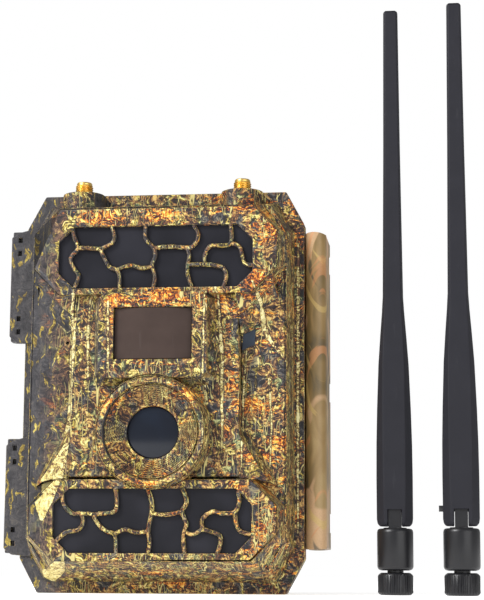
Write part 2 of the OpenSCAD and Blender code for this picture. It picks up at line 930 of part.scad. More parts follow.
// One key: a cap that stands out of the panel on a stem with a collar inside
module key(i) {
    color("#d8d8d4") {
        round_y(key_places[i][0], key_places[i][1], key_r, panel_y - 2.6, panel_y + 1.2);
        round_y(key_places[i][0], key_places[i][1], key_r + 0.8, panel_y - 3.2, panel_y - 2.6);
    }
}

module button_up() {
    key(0);
}

module button_down() {
    key(1);
}

module button_left() {
    key(2);
}

module button_right() {
    key(3);
}

module button_ok() {
    key(4);
}

module button_menu() {
    key(5);
}

module mode_switch() {
    color("#c23b2a")
        translate([-29.6, panel_y - 3.8, key_z - 1.8]) cube([3.6, 5, 3.6]);
    color("#1b1b1d")
        translate([-30.6, panel_y - 4.6, key_z - 3.4]) cube([5.6, 0.8, 6.8]);
}

// Sockets for the memory card and the SIM, side by side on the board
module card_sockets() {
    color("#b9babd") {
        socket(sd_x, 13.2, 2.3, 27);
        socket(sim_x, 8, 1.1, 20);
    }
}

module socket(x, half, slot, h) {
    difference() {
        sheet(board_y + board_t + 0.01, board_y + board_t + slot + 1)
            translate([x - half - 1, card_z + 6]) square([2 * half + 2, h]);
        sheet(board_y + board_t + 0.5, board_y + board_t + 0.5 + slot)
            translate([x - half, card_z + 5]) square([2 * half, h - 1]);
    }
}

module sd_card() {
    color("#22345c")
        sheet(board_y + board_t + 0.6, board_y + board_t + 2.7)
            difference() {
                translate([sd_x - 12, card_z]) square([24, 29.5]);
                translate([sd_x + 12, card_z + 29.5]) rotate(45) square([5, 5], center = true);
            }
}

module sim_card() {
    color("#e8e6df")
        sheet(board_y + board_t + 0.65, board_y + board_t + 1.4)
            difference() {
                translate([sim_x - 7.5, card_z + 2]) square([15, 20]);
                translate([sim_x + 7.5, card_z + 22]) rotate(45) square([4, 4], center = true);
            }
}

// ---------- Antennas ----------

// Half width of a paddle at a height above its foot, as a list of outline points
paddle_side = [
    [6.25, 23.4], [6.3, 40], [6.2, 52], [5.9, 64], [5.3, 80], [4.6, 90], [3.9, 99], [3.6, 104],
    [3, 157], [2.6, antenna_len - 0.6], [2.2, antenna_len]];
paddle_depth = [
    [4.4, 23.4], [4.4, 60], [3.9, 80], [3.2, 104], [2.6, 157], [2, antenna_len - 0.6], [1.7, antenna_len]];

function mirrored(side) = concat(side, [for (i = [len(side) - 1:-1:0]) [-side[i][0], side[i][1]]]);

module antenna_paddle(k) {
    x = antenna_at[k][0];
    y = antenna_at[k][1];
    color("#303034")
        difference() {
            translate([x, y, 0])
                intersection() {
                    sheet(-10, 10) polygon(mirrored(paddle_side));
                    rotate([0, 0, 90]) sheet(-10, 10) polygon(mirrored(paddle_depth));
                    union() {
                        round_x(-10, 10, 0, tilt_z, tilt_z - 23.4);
                        translate([-10, -10, tilt_z]) cube([20, 20, 300]);
                    }
                }
            translate([x - 2.4, y - 3.8, 20]) cube([4.8, 20, tilt_z - 20 + tongue_r + 0.4]);
            translate([x - 2.4, y - 10, 20]) cube([4.8, 20, tilt_z - 20 - 0.2]);
            round_x(x - 10, x + 10, y, tilt_z, tilt_pin_r + 0.05);
        }
}

module antenna_base(k) {
    x = antenna_at[k][0];
    y = antenna_at[k][1];
    color("#28282b")
        difference() {
            union() {
                translate([x, y, nut_len + 0.7]) cylinder(r = barrel_r, h = barrel_top - nut_len - 0.7, $fn = 64);
                translate([x, y, barrel_top - e]) cylinder(r = 4, h = 0.35);
                translate([x, y, 5.4]) cylinder(r = 2.8, h = 4);
                translate([x, y, 4.6]) cylinder(r = 3.25, h = 0.8);
                translate([x - 2.2, y - tongue_r, barrel_top - 1]) cube([4.4, 2 * tongue_r, tilt_z - barrel_top + 1]);
                round_x(x - 2.2, x + 2.2, y, tilt_z, tongue_r);
            }
            round_x(x - 10, x + 10, y, tilt_z, tilt_pin_r);
            translate([x, y, 4]) cylinder(r = 0.5, h = 10);
        }
}

// Knurled coupling nut that screws onto a port
module antenna_nut(k) {
    x = antenna_at[k][0];
    y = antenna_at[k][1];
    flutes = 24;
    color("#232326")
        translate([x, y, 0])
            difference() {
                cylinder(r = 6.1, h = nut_len, $fn = 64);
                translate([0, 0, -e]) cylinder(r = 3.2, h = 2.6 + e);
                translate([0, 0, 2.6]) cylinder(r = 3.5, h = 3);
                translate([0, 0, 5]) cylinder(r = 2.86, h = 5);
                for (i = [0:flutes - 1]) {
                    rotate(i * 360 / flutes) translate([6.25, 0, 0.8]) cylinder(r = 0.4, h = nut_len - 1.6, $fn = 6);
                }
            }
}

module tilt_pin(k, stick_out) {
    color("#1b1b1d")
        round_x(antenna_at[k][0] - 6 - stick_out, antenna_at[k][0] + 6.2, antenna_at[k][1], tilt_z, tilt_pin_r);
}

module antenna_contact(k) {
    color("#d6a028")
        translate([antenna_at[k][0], antenna_at[k][1], 2.9]) cylinder(r = 0.48, h = 10);
}

module antenna_left_base() {
    antenna_base(0);
}

module antenna_left_paddle() {
    antenna_paddle(0);
}

module antenna_left_nut() {
    antenna_nut(0);
}

module antenna_left_pin() {
    tilt_pin(0, 0);
}

module antenna_left_contact() {
    antenna_contact(0);
}

module antenna_right_base() {
    antenna_base(1);
}

module antenna_right_paddle() {
    antenna_paddle(1);
}

module antenna_right_nut() {
    antenna_nut(1);
}

module antenna_right_pin() {
    tilt_pin(1, 1.6);
}

module antenna_right_contact() {
    antenna_contact(1);
}

rear_housing();
door_seal();
hinge_pins();
latch_pin();
battery_tray();
aa_cells();
contact_springs();
contact_plates();
tree_bracket();
bracket_screws();
tripod_insert();
power_jack();
jack_plug();
latch_bar();
front_cover();
inner_panel();
panel_screws();
led_grille_upper();
led_grille_lower();
led_pane_upper();
led_pane_lower();
led_boards();
ir_leds();
pir_window();
pir_sensor();
lens_hood();
lens_window();
lens_barrel();
image_sensor();
ir_cut_filter();
main_board();
modem_module();
coax_leads();
microphone();
light_sensor();
sma_jacks();
sma_insulators();
lcd_module();
lcd_window();
spring_pins();
button_menu();
button_up();
button_down();
button_left();
button_right();
button_ok();
mode_switch();
card_sockets();
sd_card();
sim_card();
antenna_left_base();
antenna_left_paddle();
antenna_left_nut();
antenna_left_pin();
antenna_left_contact();
antenna_right_base();
antenna_right_paddle();
antenna_right_nut();
antenna_right_pin();
antenna_right_contact();
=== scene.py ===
"""Looks of a cellular trail camera and its two loose paddle antennas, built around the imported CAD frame."""
import json
import logging
import math
from dataclasses import dataclass
from enum import Enum
from typing import Dict, Iterable, List, Optional, Sequence, Tuple

import bmesh
import bpy
from mathutils import Matrix, Vector


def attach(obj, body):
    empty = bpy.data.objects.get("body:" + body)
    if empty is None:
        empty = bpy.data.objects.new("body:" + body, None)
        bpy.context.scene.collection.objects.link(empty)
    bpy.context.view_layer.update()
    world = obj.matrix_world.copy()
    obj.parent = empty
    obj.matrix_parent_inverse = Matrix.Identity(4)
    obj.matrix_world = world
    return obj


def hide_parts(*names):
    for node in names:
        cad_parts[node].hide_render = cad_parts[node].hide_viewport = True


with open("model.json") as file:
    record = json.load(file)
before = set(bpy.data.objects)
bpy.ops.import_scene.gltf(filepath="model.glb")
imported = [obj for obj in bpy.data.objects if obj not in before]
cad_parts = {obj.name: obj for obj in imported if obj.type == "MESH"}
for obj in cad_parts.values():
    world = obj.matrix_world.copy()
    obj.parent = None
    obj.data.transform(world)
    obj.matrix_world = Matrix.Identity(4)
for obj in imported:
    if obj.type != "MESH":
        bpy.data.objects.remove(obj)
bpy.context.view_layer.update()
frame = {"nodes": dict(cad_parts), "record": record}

log = logging.getLogger("trail_camera")

MM = 0.001
Point2 = Tuple[float, float]
Point3 = Tuple[float, float, float]
Colour = Tuple[float, float, float]
Stops = Iterable[Tuple[float, Colour]]
Socket = bpy.types.NodeSocket
Material = bpy.types.Material
Object = bpy.types.Object


def srgb(red: float, green: float, blue: float) -> Colour:
    """Turn an eight-bit display colour into the linear values that shaders use."""
    def channel(value: float) -> float:
        """One channel, from display to linear."""
        share = value / 255
        return share / 12.92 if share <= 0.04045 else ((share + 0.055) / 1.055) ** 2.4
    return channel(red), channel(green), channel(blue)


# ---------------------------------------------------------------- shading

class Shader:
    """Builds one procedural material node by node, in millimetres of object space."""

    def __init__(self, name: str) -> None:
        """Start a material with a principled shader and nothing else.

        Args:
            name: name of the material.
        """
        self.material = bpy.data.materials.new(name)
        self.material.use_nodes = True
        self.tree = self.material.node_tree
        self.tree.nodes.clear()
        out = self.tree.nodes.new("ShaderNodeOutputMaterial")
        self.surface = self.tree.nodes.new("ShaderNodeBsdfPrincipled")
        self.tree.links.new(self.surface.outputs[0], out.inputs[0])
        self.coords = self.tree.nodes.new("ShaderNodeTexCoord")
        self.place = self.vmath("SCALE", self.coords.outputs["Object"], factor=1 / MM)

    def node(self, kind: str, inputs: Optional[dict] = None, **props: object) -> bpy.types.Node:
        """Add a node, set its properties, and set or link its inputs.

        Args:
            kind: node type.
            inputs: socket name or index to a constant or another node's output.
            props: node properties.

        Returns:
            The new node.
        """
        made = self.tree.nodes.new(kind)
        for key, value in props.items():
            setattr(made, key, value)
        for key, value in (inputs or {}).items():
            self.feed(made.inputs[key], value)
        return made

    def feed(self, socket: Socket, value: object) -> None:
        """Link an output to a socket, or set the socket's own value."""
        if isinstance(value, bpy.types.NodeSocket):
            self.tree.links.new(value, socket)
        elif isinstance(value, tuple) and socket.type == "RGBA":
            socket.default_value = (*value, 1.0)
        else:
            socket.default_value = value

    def math(self, op: str, a: object, b: object = 0.0, c: object = 0.0) -> Socket:
        """A math node's result."""
        return self.node("ShaderNodeMath", {0: a, 1: b, 2: c}, operation=op).outputs[0]

    def vmath(self, op: str, a: object, b: object = (0.0, 0.0, 0.0), factor: object = 1.0) -> Socket:
        """A vector math node's vector result."""
        made = self.node("ShaderNodeVectorMath", {0: a, 1: b}, operation=op)
        if op == "SCALE":
            self.feed(made.inputs["Scale"], factor)
        return made.outputs[0]

    def stretch(self, vector: Socket, scale: Point3, offset: Point3 = (0.0, 0.0, 0.0)) -> Socket:
        """A vector scaled and then moved, value by value."""
        return self.node("ShaderNodeVectorMath", {0: vector, 1: scale, 2: offset},
                         operation="MULTIPLY_ADD").outputs[0]

    def turn(self, vector: Socket, degrees: float) -> Socket:
        """A vector turned about Z."""
        return self.node("ShaderNodeVectorRotate", {"Vector": vector, "Angle": math.radians(degrees)},
                         rotation_type="Z_AXIS").outputs[0]

    def combine(self, x: object = 0.0, y: object = 0.0, z: object = 0.0) -> Socket:
        """A vector from three values."""
        return self.node("ShaderNodeCombineXYZ", {0: x, 1: y, 2: z}).outputs[0]

    def split(self, vector: Socket) -> Tuple[Socket, Socket, Socket]:
        """The three values of a vector."""
        made = self.node("ShaderNodeSeparateXYZ", {0: vector})
        return made.outputs[0], made.outputs[1], made.outputs[2]

    def noise(self, vector: Socket, scale: float, detail: float = 2.0, rough: float = 0.5,
              colour: bool = False) -> Socket:
        """Smooth noise, 0 to 1, or its colour as a random vector."""
        made = self.node("ShaderNodeTexNoise", {
            "Vector": vector, "Scale": scale, "Detail": detail, "Roughness": rough})
        return made.outputs["Color" if colour else "Fac"]

    def cells(self, vector: Socket, feature: str = "F1", randomness: float = 1.0) -> bpy.types.Node:
        """A flat Voronoi texture whose cells are one unit wide."""
        return self.node("ShaderNodeTexVoronoi", {
            "Vector": vector, "Scale": 1.0, "Randomness": randomness},
            feature=feature, voronoi_dimensions="2D")

    def ramp(self, value: object, stops: Stops, hard: bool = False) -> Socket:
        """A colour that runs through stops as the value goes from 0 to 1."""
        made = self.node("ShaderNodeValToRGB", {0: value})
        made.color_ramp.interpolation = "CONSTANT" if hard else "LINEAR"
        stops = list(stops)
        points = made.color_ramp.elements
        while len(points) < len(stops):
            points.new(0.5)
        for point, (place, tint) in zip(points, stops):
            point.position = place
            point.color = (*tint, 1.0)
        return made.outputs[0]

    def step(self, value: object, low: float, high: float) -> Socket:
        """0 below low and 1 above high, smooth between; it falls instead if low is above high."""
        rising = low < high
        return self.node("ShaderNodeMapRange", {
            "Value": value, "From Min": min(low, high), "From Max": max(low, high),
            "To Min": 0.0 if rising else 1.0, "To Max": 1.0 if rising else 0.0},
            interpolation_type="SMOOTHSTEP").outputs[0]

    def mix(self, factor: object, a: object, b: object, blend: str = "MIX") -> Socket:
        """A mix of two colours."""
        made = self.node("ShaderNodeMix", data_type="RGBA", blend_type=blend)
        self.feed(made.inputs[0], factor)
        self.feed(made.inputs[6], a)
        self.feed(made.inputs[7], b)
        return made.outputs[2]

    def both(self, *factors: object) -> Socket:
        """The product of several factors."""
        product = factors[0]
        for factor in factors[1:]:
            product = self.math("MULTIPLY", product, factor)
        return product

    def bump(self, height: Socket, depth: float) -> None:
        """Let a height, 0 to 1, tilt the surface's normal.

        Args:
            height: the height.
            depth: how deep a full step is, in millimetres.
        """
        made = self.node("ShaderNodeBump", {"Height": height, "Distance": depth * MM, "Strength": 0.6})
        self.feed(self.surface.inputs["Normal"], made.outputs[0])

    def finish(self, **sockets: object) -> Material:
        """Set the shader's own sockets, with underscores for the spaces in their names.

        Returns:
            The finished material.
        """
        for key, value in sockets.items():
            self.feed(self.surface.inputs[key.replace("_", " ")], value)
        return self.material


Spine = Tuple[Point3, ...]


class Ink(Enum):
    """Ink families of the printed film, each from shadow to highlight."""

    STONE = ((0.30, srgb(30, 29, 32)), (0.45, srgb(50, 49, 52)), (0.58, srgb(70, 68, 70)),
             (0.70, srgb(98, 92, 84)),
             (0.82, srgb(134, 124, 92)))
    BARK = ((0.28, srgb(34, 29, 26)), (0.42, srgb(88, 72, 38)), (0.52, srgb(144, 124, 54)),
            (0.63, srgb(194, 174, 84)),
            (0.76, srgb(228, 214, 142)))
    LEAF = ((0.28, srgb(42, 26, 22)), (0.42, srgb(108, 52, 30)), (0.52, srgb(172, 86, 34)),
            (0.61, srgb(222, 128, 34)),
            (0.72, srgb(240, 178, 62)), (0.86, srgb(246, 214, 122)))
    PLUM = ((0.30, srgb(36, 28, 28)), (0.43, srgb(80, 56, 44)), (0.54, srgb(120, 80, 48)),
            (0.66, srgb(170, 126, 66)),
            (0.80, srgb(214, 182, 108)))
    MOSS = ((0.30, srgb(34, 38, 30)), (0.46, srgb(74, 86, 58)), (0.58, srgb(112, 128, 82)),
            (0.74, srgb(176, 186, 128)))
    CREAM = ((0.30, srgb(84, 56, 44)), (0.38, srgb(134, 104, 66)), (0.46, srgb(184, 166, 92)),
             (0.56, srgb(212, 198, 128)),
             (0.72, srgb(228, 218, 164)))


@dataclass(frozen=True)
class ForestPrint:
    """The woodland film on the case: bark, leaf litter and trunks over dark grey."""

    name: str = "forest_print"
    calm: float = 0.0
    pale_trunk: Spine = (
        (24, -38, 0.3), (31, -37.5, 3.2), (38, -35.8, 4.2), (44, -33.8, 3.2), (50, -31.6, 1.9),
                         (60, -30.3, 1.3),
        (74, -30.1, 1.15), (84, -29.6, 1.5), (92, -29.3, 1.2), (104, -28.6, 0.5))
    slim_tree: Spine = (
        (46, 23.6, 0.1), (60, 23.6, 0.42), (82, 23.4, 0.62), (92, 22.6, 0.5), (100, 22.2, 0.36),
                        (112, 20, 0.2))
    slim_fork: Spine = (
        (83, 23.2, 0.1), (84, 23.1, 0.35), (90, 20.4, 0.3), (98, 18.6, 0.25), (108, 14.5, 0.1))
    bent_trunk: Spine = (
        (77, 46.5, 0.1), (80, 45, 0.4), (86, 40.2, 0.7), (91, 37.4, 0.8), (100, 36.6, 0.6), (107, 34, 0.3))
    flank: Spine = (
        (20, 48.2, 0.2), (60, 48.2, 0.5), (110, 48.3, 0.5), (124, 48.4, 0.2))
    saplings: Tuple[Spine, ...] = (
        ((48, 18.0, 0.1), (70, 17.6, 0.3), (104, 18.0, 0.25)),
                                   ((40, 30.6, 0.2), (66, 30.2, 0.35), (84, 31.4, 0.15)),
        ((38, 39.4, 0.15), (60, 40.2, 0.3), (74, 39.0, 0.1)),
                                   ((72, -15.6, 0.1), (80, -15.2, 0.4), (100, -15.6, 0.3)),
        ((70, -23.4, 0.15), (88, -23.8, 0.45), (102, -23.2, 0.2)))
    glow: Spine = (
        (4, 101.5, 10), (20, 101, 7), (-12, 99.5, 6), (35, 108, 8), (43, 124, 8), (30, 134, 7),
                   (-20, 130, 8), (2, 131, 6),
        (33, 64, 7), (44, 52, 7), (37, 46, 6), (12, 67, 6), (-15, 64, 5), (-2, 36, 6), (6, 6, 9),
                   (40, 14, 7), (-30, 7, 5),
        (45, 28, 6), (-39, 66, 3), (-39.4, 107.8, 1.6),
        (-38.4, 104.4, 1.6), (-42.6, 101.2, 1.4), (-46, 96, 2), (-50, 92, 2))

    def trunk(self, sh: Shader, u: Socket, v: Socket, spine: Spine,
              fray: Socket) -> Socket:
        """How far inside an upright trunk a place is, in millimetres: above 0 inside.

        Args:
            sh: the shader being built.
            u: place across the print.
            v: place up the print.
            spine: (height, middle, half width) along the trunk.
            fray: noise that roughens its edges.
        """
        low, high = spine[0][0], spine[-1][0]
        reach, widest = 120.0, 8.0
        run = sh.math("DIVIDE", sh.math("SUBTRACT", v, low), high - low)
        guide = sh.ramp(run, [((z - low) / (high - low), (0.5 + mid / reach, half / widest, 0.0))
                              for z, mid, half in spine])
        middle, half, _ = sh.split(guide)
        middle = sh.math("MULTIPLY", sh.math("SUBTRACT", middle, 0.5), reach)
        off = sh.math("ABSOLUTE", sh.math("SUBTRACT", u, middle))
        inside = sh.math("SUBTRACT", sh.math("MULTIPLY_ADD", half, widest, sh.math("MULTIPLY", fray, 1.6)),
                         off)
        there = sh.both(sh.step(run, -0.01, 0.01), sh.step(run, 1.01, 0.99))
        return sh.math("SUBTRACT", sh.math("MULTIPLY", sh.math("ADD", inside, 9.0), there), 9.0)

    def patch(self, sh: Shader, flat: Socket, scale: Point2, shift: float, low: float, high: float) -> Socket:
        """A mask of soft patches of one ink family."""
        place = sh.stretch(flat, (scale[0], scale[1], 0.0), (shift, shift * 0.7, 0.0))
        return sh.step(sh.noise(place, 1.0, 3.0, 0.6), low, high)

    def build(self) -> Material:
        """Build the film's material."""
        sh = Shader(self.name)
        x, y, z = sh.split(sh.place)
        face_x, face_y, face_z = sh.split(sh.coords.outputs["Normal"])
        wrap_x = sh.both(sh.step(sh.math("ABSOLUTE", face_x), 0.62, 0.72), sh.math("SIGN", face_x), y)
        wrap_z = sh.both(sh.step(sh.math("ABSOLUTE", face_z), 0.62, 0.72), sh.math("SIGN", face_z), y)
        u, v = sh.math("ADD", x, wrap_x), sh.math("ADD", z, wrap_z)
        flat = sh.combine(u, v, 0.0)
        centre = (0.5, 0.5, 0.5)
        sway = sh.vmath("SCALE", sh.vmath("SUBTRACT", sh.noise(flat, 0.16, 2.0, colour=True), centre),
                        factor=7.0)
        ruffle = sh.vmath("SCALE", sh.vmath("SUBTRACT", sh.noise(flat, 0.9, 2.0, colour=True), centre),
                          factor=0.6)
        warped = sh.vmath("ADD", sh.vmath("ADD", flat, sway), ruffle)
        right = sh.step(u, -8.0, 40.0)
        lively = sh.step(u, -44.0, -26.0)
        # Tone: broad upright strokes, then crisp scraps, then dark gaps between them
        broad = sh.noise(sh.stretch(warped, (0.40, 0.13, 0.0)), 1.0, 5.0, 0.70)
        upright = sh.noise(sh.stretch(warped, (1.9, 0.5, 0.0), (5.0, 9.0, 0.0)), 1.0, 4.0, 0.7)
        lying = sh.noise(sh.stretch(sh.turn(warped, -7.0), (0.42, 1.7, 0.0), (2.0, 4.0, 0.0)), 1.0, 4.0, 0.7)
        laid = sh.math("MULTIPLY", self.patch(sh, warped, (0.05, 0.09), 45.0, 0.36, 0.50),
                       sh.math("MULTIPLY_ADD", right, 0.7, 0.3))
        fine = sh.math("MULTIPLY_ADD", sh.math("SUBTRACT", lying, upright), laid, upright)
        tone = sh.math("ADD", sh.math("MULTIPLY", broad, 0.50), sh.math("MULTIPLY", fine, 0.52))
        scraps = None
        for size, angle, weight in (((2.3, 0.52), -9.0, 0.18), ((1.5, 0.5), 24.0, 0.14),
                                    ((1.3, 0.42), 78.0, 0.16)):
            cells = sh.cells(sh.stretch(sh.turn(warped, angle), (1 / size[0], 1 / size[1], 0.0),
                                        (angle, angle, 0.0)))
            value = sh.math("MULTIPLY", sh.math("SUBTRACT", sh.split(cells.outputs["Color"])[0], 0.5), weight)
            scraps = value if scraps is None else sh.math("ADD", scraps, value)
        lift = sh.math("MULTIPLY_ADD", lively, 0.75, 0.35)
        tone = sh.math("ADD", tone, sh.both(scraps, lift, 1.0 - self.calm))
        crack = sh.math("ABSOLUTE", sh.math("SUBTRACT", sh.noise(sh.stretch(
            warped, (0.62, 0.42, 0.0), (13.0, 3.0, 0.0)), 1.0, 3.0, 0.6), 0.5))
        gap = sh.both(sh.step(crack, 0.035, 0.005), sh.math("MULTIPLY_ADD", lively, 0.6, 0.25))
        tone = sh.math("SUBTRACT", tone, sh.math("MULTIPLY", gap, 0.17))
        spread = sh.math("MULTIPLY_ADD", lively, 0.75, 1.0)
        # Painted light: the tone is lifted towards the bottom of the print, a painted brightening that stands
        # in for light on the lower faces; past u = 41 mm the tone is a little darker.
        base = sh.math("MULTIPLY_ADD", sh.step(v, 95.0, 15.0), 0.035, 0.487)
        slope = sh.both(sh.step(face_x, -0.12, -0.3), sh.step(face_y, -0.98, -0.90), sh.step(y, -30.0, -32.0),
                        sh.step(z, 60.0, 80.0))
        base = sh.math("SUBTRACT", base, sh.both(sh.step(u, 41.0, 46.0), 0.06))
        lively = sh.math("MULTIPLY", lively, sh.math("MULTIPLY_ADD", slope, -0.85, 1.0))
        tone = sh.math("MULTIPLY_ADD", sh.math("SUBTRACT", tone, 0.5), spread, base)
        # Ink families in patches
        colour = sh.ramp(tone, Ink.STONE.value)
        plum = self.patch(sh, warped, (0.19, 0.12), 7.0, 0.42, 0.50)
        colour = sh.mix(sh.both(plum, lively, 0.9), colour, sh.ramp(tone, Ink.PLUM.value))
        moss = self.patch(sh, warped, (0.22, 0.15), 31.0, 0.58, 0.62)
        colour = sh.mix(sh.both(moss, lively, 0.7), colour, sh.ramp(tone, Ink.MOSS.value))
        stalks = sh.noise(sh.stretch(warped, (0.5, 0.13, 0.0), (21.0, 2.0, 0.0)), 1.0, 3.0, 0.6)
        need = sh.math("MULTIPLY_ADD", right, 0.03, sh.math("MULTIPLY_ADD", lively, -0.06, 0.60))
        bark = sh.step(sh.math("SUBTRACT", stalks, need), -0.015, 0.02)
        colour = sh.mix(sh.math("MULTIPLY", bark, 0.95), colour, sh.ramp(tone, Ink.BARK.value))
        # Leaf clusters
        warm = sh.math("SUBTRACT", sh.noise(sh.stretch(warped, (0.09, 0.20, 0.0)), 1.0, 3.0, 0.6), 0.585)
        warm = sh.math("SUBTRACT", warm, sh.math("MULTIPLY", sh.math("SUBTRACT", 1.0, right), 0.05))
        for gx, gz, size in self.glow:
            off = sh.vmath("MULTIPLY", sh.vmath("SUBTRACT", warped, (gx, gz, 0.0)), (1.0, 2.2, 0.0))
            gone = sh.node("ShaderNodeVectorMath", {0: off}, operation="LENGTH").outputs["Value"]
            warm = sh.math("MAXIMUM", warm, sh.math("MULTIPLY_ADD", gone, -0.16 / size, 0.16))
        torn = sh.math("MULTIPLY", sh.math("SUBTRACT", sh.noise(sh.stretch(flat, (0.45, 1.3, 0.0)), 1.0, 3.0,
                                                                0.7), 0.5), 0.7)
        leafy = sh.both(sh.step(sh.math("ADD", warm, torn), 0.02, 0.05), lively, 1.0 - self.calm)
        glowing = sh.math("ADD", tone, 0.04)
        colour = sh.mix(leafy, colour, sh.ramp(glowing, Ink.LEAF.value))
        # Standing trees that are near
        fray = sh.math("SUBTRACT", sh.noise(sh.stretch(flat, (0.9, 0.3, 0.0)), 1.0, 4.0, 0.7), 0.5)
        cream = sh.ramp(sh.math("ADD", sh.math("MULTIPLY", sh.math("SUBTRACT", tone, 0.5), 1.15), 0.53),
                        Ink.CREAM.value)
        near = () if self.calm else (self.pale_trunk, self.flank, self.bent_trunk, self.slim_fork,
                                     self.slim_tree,
                                     *self.saplings)
        for spine in near:
            depth = self.trunk(sh, u, v, spine, fray)
            colour = sh.mix(sh.both(sh.step(depth, -0.5, -0.05), 0.75), colour, srgb(44, 36, 30))
            colour = sh.mix(sh.step(depth, -0.06, 0.16), colour, cream)
        # Thin pale stalks
        for scale, shift, half in (((0.30, 0.045), 2.0, 0.018), ((0.55, 0.09), 9.0, 0.022)):
            field = sh.noise(sh.stretch(flat, (scale[0], scale[1], 0.0), (shift, shift, 0.0)), 1.0, 1.0, 0.4)
            line = sh.math("ABSOLUTE", sh.math("SUBTRACT", field, 0.5))
            here = self.patch(sh, flat, (0.09, 0.05), shift * 3, 0.53, 0.56)
            there = sh.both(here, lively, 1.0 - self.calm)
            colour = sh.mix(sh.both(there, sh.step(line, half * 1.5, half * 0.7), 0.7), colour,
                            srgb(40, 34, 30))
            colour = sh.mix(sh.both(there, sh.step(line, half * 0.62, half * 0.3), 0.85), colour,
                            srgb(206, 192, 124))
        grain = sh.noise(sh.place, 2.2, 3.0, 0.6)
        sh.bump(grain, 0.04)
        return sh.finish(Base_Color=colour, Roughness=sh.math("MULTIPLY_ADD", grain, 0.16, 0.46),
                         Specular_IOR_Level=0.3)


@dataclass(frozen=True)
class ReedPrint:
    """The larger and softer print on the latch: reeds and broad leaves over tan."""

    name: str = "reed_print"

    def build(self) -> Material:
        """Build the print's material."""
        sh = Shader(self.name)
        x, y, z = sh.split(sh.place)
        flat = sh.combine(sh.math("SUBTRACT", x, y), z, 0.0)
        sway = sh.vmath("SUBTRACT", sh.noise(flat, 0.05, 2.0, colour=True), (0.5, 0.5, 0.5))
        warped = sh.vmath("ADD", flat, sh.vmath("SCALE", sway, factor=9.0))
        colour = sh.ramp(sh.noise(sh.stretch(warped, (0.16, 0.03, 0.0)), 1.0, 3.0, 0.55), [
            (0.30, srgb(70, 64, 50)), (0.42, srgb(112, 92, 56)), (0.52, srgb(140, 114, 72)),
            (0.66, srgb(160, 136, 92))])
        for scale, angle, low, high, ink, share in (
                ((0.09, 0.035), 14.0, 0.56, 0.60, srgb(190, 154, 116), 0.85),
                ((0.20, 0.035), -24.0, 0.57, 0.62, srgb(74, 72, 62), 0.8),
                ((0.34, 0.030), -38.0, 0.60, 0.64, srgb(186, 158, 96), 0.7),
                ((0.30, 0.04), 30.0, 0.62, 0.66, srgb(190, 132, 86), 0.6)):
            field = sh.noise(sh.stretch(sh.turn(warped, angle), (scale[0], scale[1], 0.0),
                                        (angle, 3.0, 0.0)), 1.0, 2.0,
                             0.45)
            colour = sh.mix(sh.both(sh.step(field, low, high), share), colour, ink)
        grain = sh.noise(sh.place, 2.0, 3.0, 0.6)
        colour = sh.mix(sh.both(sh.step(grain, 0.4, 0.7), 0.18), colour, srgb(120, 100, 66))
        sh.bump(grain, 0.03)
        return sh.finish(Base_Color=colour, Roughness=sh.math("MULTIPLY_ADD", grain, 0.14, 0.34),
                         Specular_IOR_Level=0.45)


@dataclass(frozen=True)
class Moulded:
    """Plastic or rubber as it leaves the mould: slow tint drift, fine spark texture, painted upright
    highlight streaks, varied gloss.
    """

    name: str
    tint: Colour
    gloss: float
    grain: float = 2.6
    depth: float = 0.04
    drift: float = 0.12
    shine: float = 0.5

    def build(self) -> Material:
        """Build the plastic's material."""
        sh = Shader(self.name)
        slow = sh.noise(sh.place, 0.12, 3.0)
        fine = sh.noise(sh.place, self.grain, 3.0, 0.6)
        painted_sheen_streaks = sh.noise(sh.stretch(sh.place, (0.5, 0.5, 0.06)), 1.0, 4.0, 0.7)
        dark = tuple(c * (1 - self.drift) for c in self.tint)
        light = tuple(min(1.0, c * (1 + self.drift)) for c in self.tint)
        colour = sh.ramp(slow, [(0.3, dark), (0.7, light)])
        # Painted highlight: upright streaks of a lighter tint are painted on as sheen.
        colour = sh.mix(sh.both(sh.step(painted_sheen_streaks, 0.6, 0.75), 0.18), colour,
                        tuple(min(1.0, c + 0.05) for c in self.tint))
        rough = sh.math("MULTIPLY_ADD", fine, self.gloss * 0.3, self.gloss * 0.85)
        sh.bump(fine, self.depth)
        return sh.finish(Base_Color=colour, Roughness=rough, Specular_IOR_Level=self.shine)


@dataclass(frozen=True)
class Metal:
    """Turned or pressed metal with fine tool lines and a little tarnish."""

    name: str
    tint: Colour
    gloss: float
    tarnish: Colour

    def build(self) -> Material:
        """Build the metal's material."""
        sh = Shader(self.name)
        lines = sh.noise(sh.stretch(sh.place, (0.4, 0.4, 9.0)), 1.0, 2.0)
        patch = sh.noise(sh.place, 0.7, 4.0, 0.6)
        colour = sh.mix(sh.step(patch, 0.5, 0.75), self.tint, self.tarnish)
        rough = sh.math("MULTIPLY_ADD", lines, self.gloss * 0.6, self.gloss * 0.7)
        sh.bump(lines, 0.006)
        return sh.finish(Base_Color=colour, Roughness=rough, Metallic=1.0)


@dataclass(frozen=True)
class Board:
    """Circuit board: solder mask over copper tracks, with plated holes."""

    name: str
    mask: Colour

    def build(self) -> Material:
        """Build the board's material."""
        sh = Shader(self.name)
        x, _, z = sh.split(sh.place)
        grid = sh.stretch(sh.combine(x, z, 0.0), (0.32, 0.32, 0.0))
        cells = sh.cells(grid, "DISTANCE_TO_EDGE", 0.55)
        track = sh.step(cells.outputs["Distance"], 0.08, 0.05)
        pads = sh.cells(sh.stretch(sh.combine(x, z, 0.0), (0.5, 0.5, 0.0)), randomness=0.3)
        hole = sh.step(pads.outputs["Distance"], 0.20, 0.16)
        colour = sh.mix(sh.both(track, 0.7), self.mask, tuple(c * 1.7 for c in self.mask))
        colour = sh.mix(sh.both(hole, 0.8), colour, srgb(196, 170, 96))
        sh.bump(track, 0.03)
        return sh.finish(Base_Color=colour, Roughness=sh.math("MULTIPLY_ADD", hole, -0.1, 0.36))


